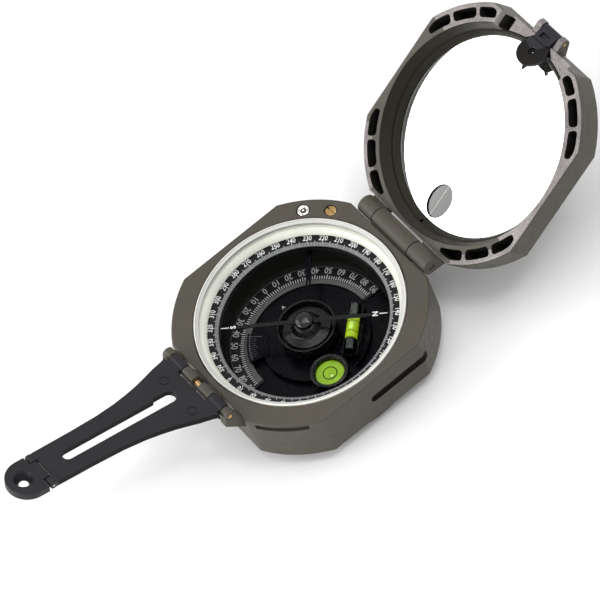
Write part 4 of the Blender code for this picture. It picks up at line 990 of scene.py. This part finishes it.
TIP_PIN_BORE = 0.5
arm_cuts = [bar(0.95, -20, 20, edge=0.0), bar(TIP_PIN_BORE, -10, 10, -TIP_AXIS, TIP_Z, 0.0),
            punch(slot_outline, PLATE_LOW, PLATE_HIGH, 0.2)]
# Witness rings left by the ejector pins of the mould
for x, y in ((-6.3, -8.0), (8.1, -8.2)):
    arm_cuts.append(lathe([(1.35, PLATE_HIGH - 0.14), (1.35, PLATE_HIGH + 1.0), (1.6, PLATE_HIGH + 1.0),
                           (1.6, PLATE_HIGH - 0.14)], FINE, (x, y), True))


def arm_paint(centre, normal):
    """1 on the moulded side faces of the plate and its slot, painted darker as painted shade, 0 elsewhere.
    """
    return 1 if abs(normal.z) < 0.5 and centre.y < -ARM_ROOT and centre.y > -TIP_AXIS + 1.5 else 0


piece("arm_plate", slab(arm_outline, PLATE_LOW, PLATE_HIGH, 0.22), ARM, "arm", [PLASTIC, PLASTIC_SIDE_SHADE],
      ("sight_arm",), arm_cuts, arm_joins, paint=arm_paint)
piece("arm_tip_pin", bar(0.43, -6.78, 6.78, -TIP_AXIS, TIP_Z, 0.1), ARM, "arm", STEEL, ("tip_pin",))

TIP_R = 6.8
TIP_CENTRE_Y = TIP_AXIS - ARM_LENGTH + TIP_R
tip_outline = [(TIP_R, -1.5), (-TIP_R, -1.5)] + arc(TIP_R, 180, 360, 48, (0.0, TIP_CENTRE_Y))
tongue = [(-2.4, -0.9), (-2.4, 0.9)] + arc(TIP_BARREL_R, 100, -100, 24)
cone = lathe([(1.45, -3.0), (1.45, -1.3), (3.0, 1.0), (3.15, 1.15), (3.15, 3.0)], FINE,
             (0.0, TIP_AXIS - 62.3))
piece("tip_plate", slab(tip_outline, -1.6, 1.0, 0.3), TIP, "tip", PLASTIC, ("sight_tip",),
      [bar(TIP_PIN_BORE, -5, 5, edge=0.0), cone], [slab(tongue, -3.45, 3.45, 0.1, "X")])

# ---------------------------------------------------------------- studio
CAMERA_AT = Vector((802.418, -245.448 + DIAL_Y, 1217.770 + TOP))
CAMERA_FORWARD = Vector((-0.543836, 0.167423, -0.822321))
CAMERA_UP = Vector((-0.592762, 0.616995, 0.517638))

camera_data = bpy.data.cameras.new("camera")
camera_data.sensor_width = 36.0
camera_data.lens = 300.4
camera_data.clip_start = 0.05
camera = added("camera", camera_data)
back = -CAMERA_FORWARD.normalized()
up = (CAMERA_UP - CAMERA_UP.dot(back) * back).normalized()
right = up.cross(back)
camera.matrix_world = Matrix.Translation(CAMERA_AT * MM) @ Matrix((right, up, back)).transposed().to_4x4()
scene.camera = camera

pale = Shader("pale_floor", 0.6)
pale.colour(pale.ramp(pale.noise(60.0, 2.0), ((0.3, (0.80,) * 3), (0.7, (0.83,) * 3))))
floor_bm = bmesh.new()
bmesh.ops.create_grid(floor_bm, x_segments=1, y_segments=1, size=3.0)
floor = added("floor", mesh_of(floor_bm, "floor"))
floor.data.materials.append(pale.mat)
floor.location.z = -0.0002

world = bpy.data.worlds.new("studio")
world.use_nodes = True
background = world.node_tree.nodes["Background"]
background.inputs["Color"].default_value = (1.0, 1.0, 1.0, 1.0)
background.inputs["Strength"].default_value = 0.85
scene.world = world
scene.view_settings.view_transform = "Standard"


def softbox(name, location, target, size, power):
    light = bpy.data.lights.new(name, "AREA")
    light.shape = "RECTANGLE"
    light.size, light.size_y = size
    light.energy = power
    holder = added(name, light)
    holder.location = location
    aim = Vector(target) - Vector(location)
    holder.rotation_euler = aim.to_track_quat("-Z", "Y").to_euler()


softbox("key", (-0.65, -0.71, 0.67), (0.0, 0.05, 0.02), (0.8, 0.8), 4.2)
softbox("front", (-0.05, -0.85, 0.28), (0.0, -0.02, 0.02), (0.5, 0.35), 4.5)
softbox("glint", (0.35, 0.35, 0.95), (0.0, 0.0, 0.02), (0.16, 0.16), 1.4)
softbox("overhead", (0.0, 0.15, 1.0), (0.0, 0.02, 0.02), (0.7, 0.7), 3.0)
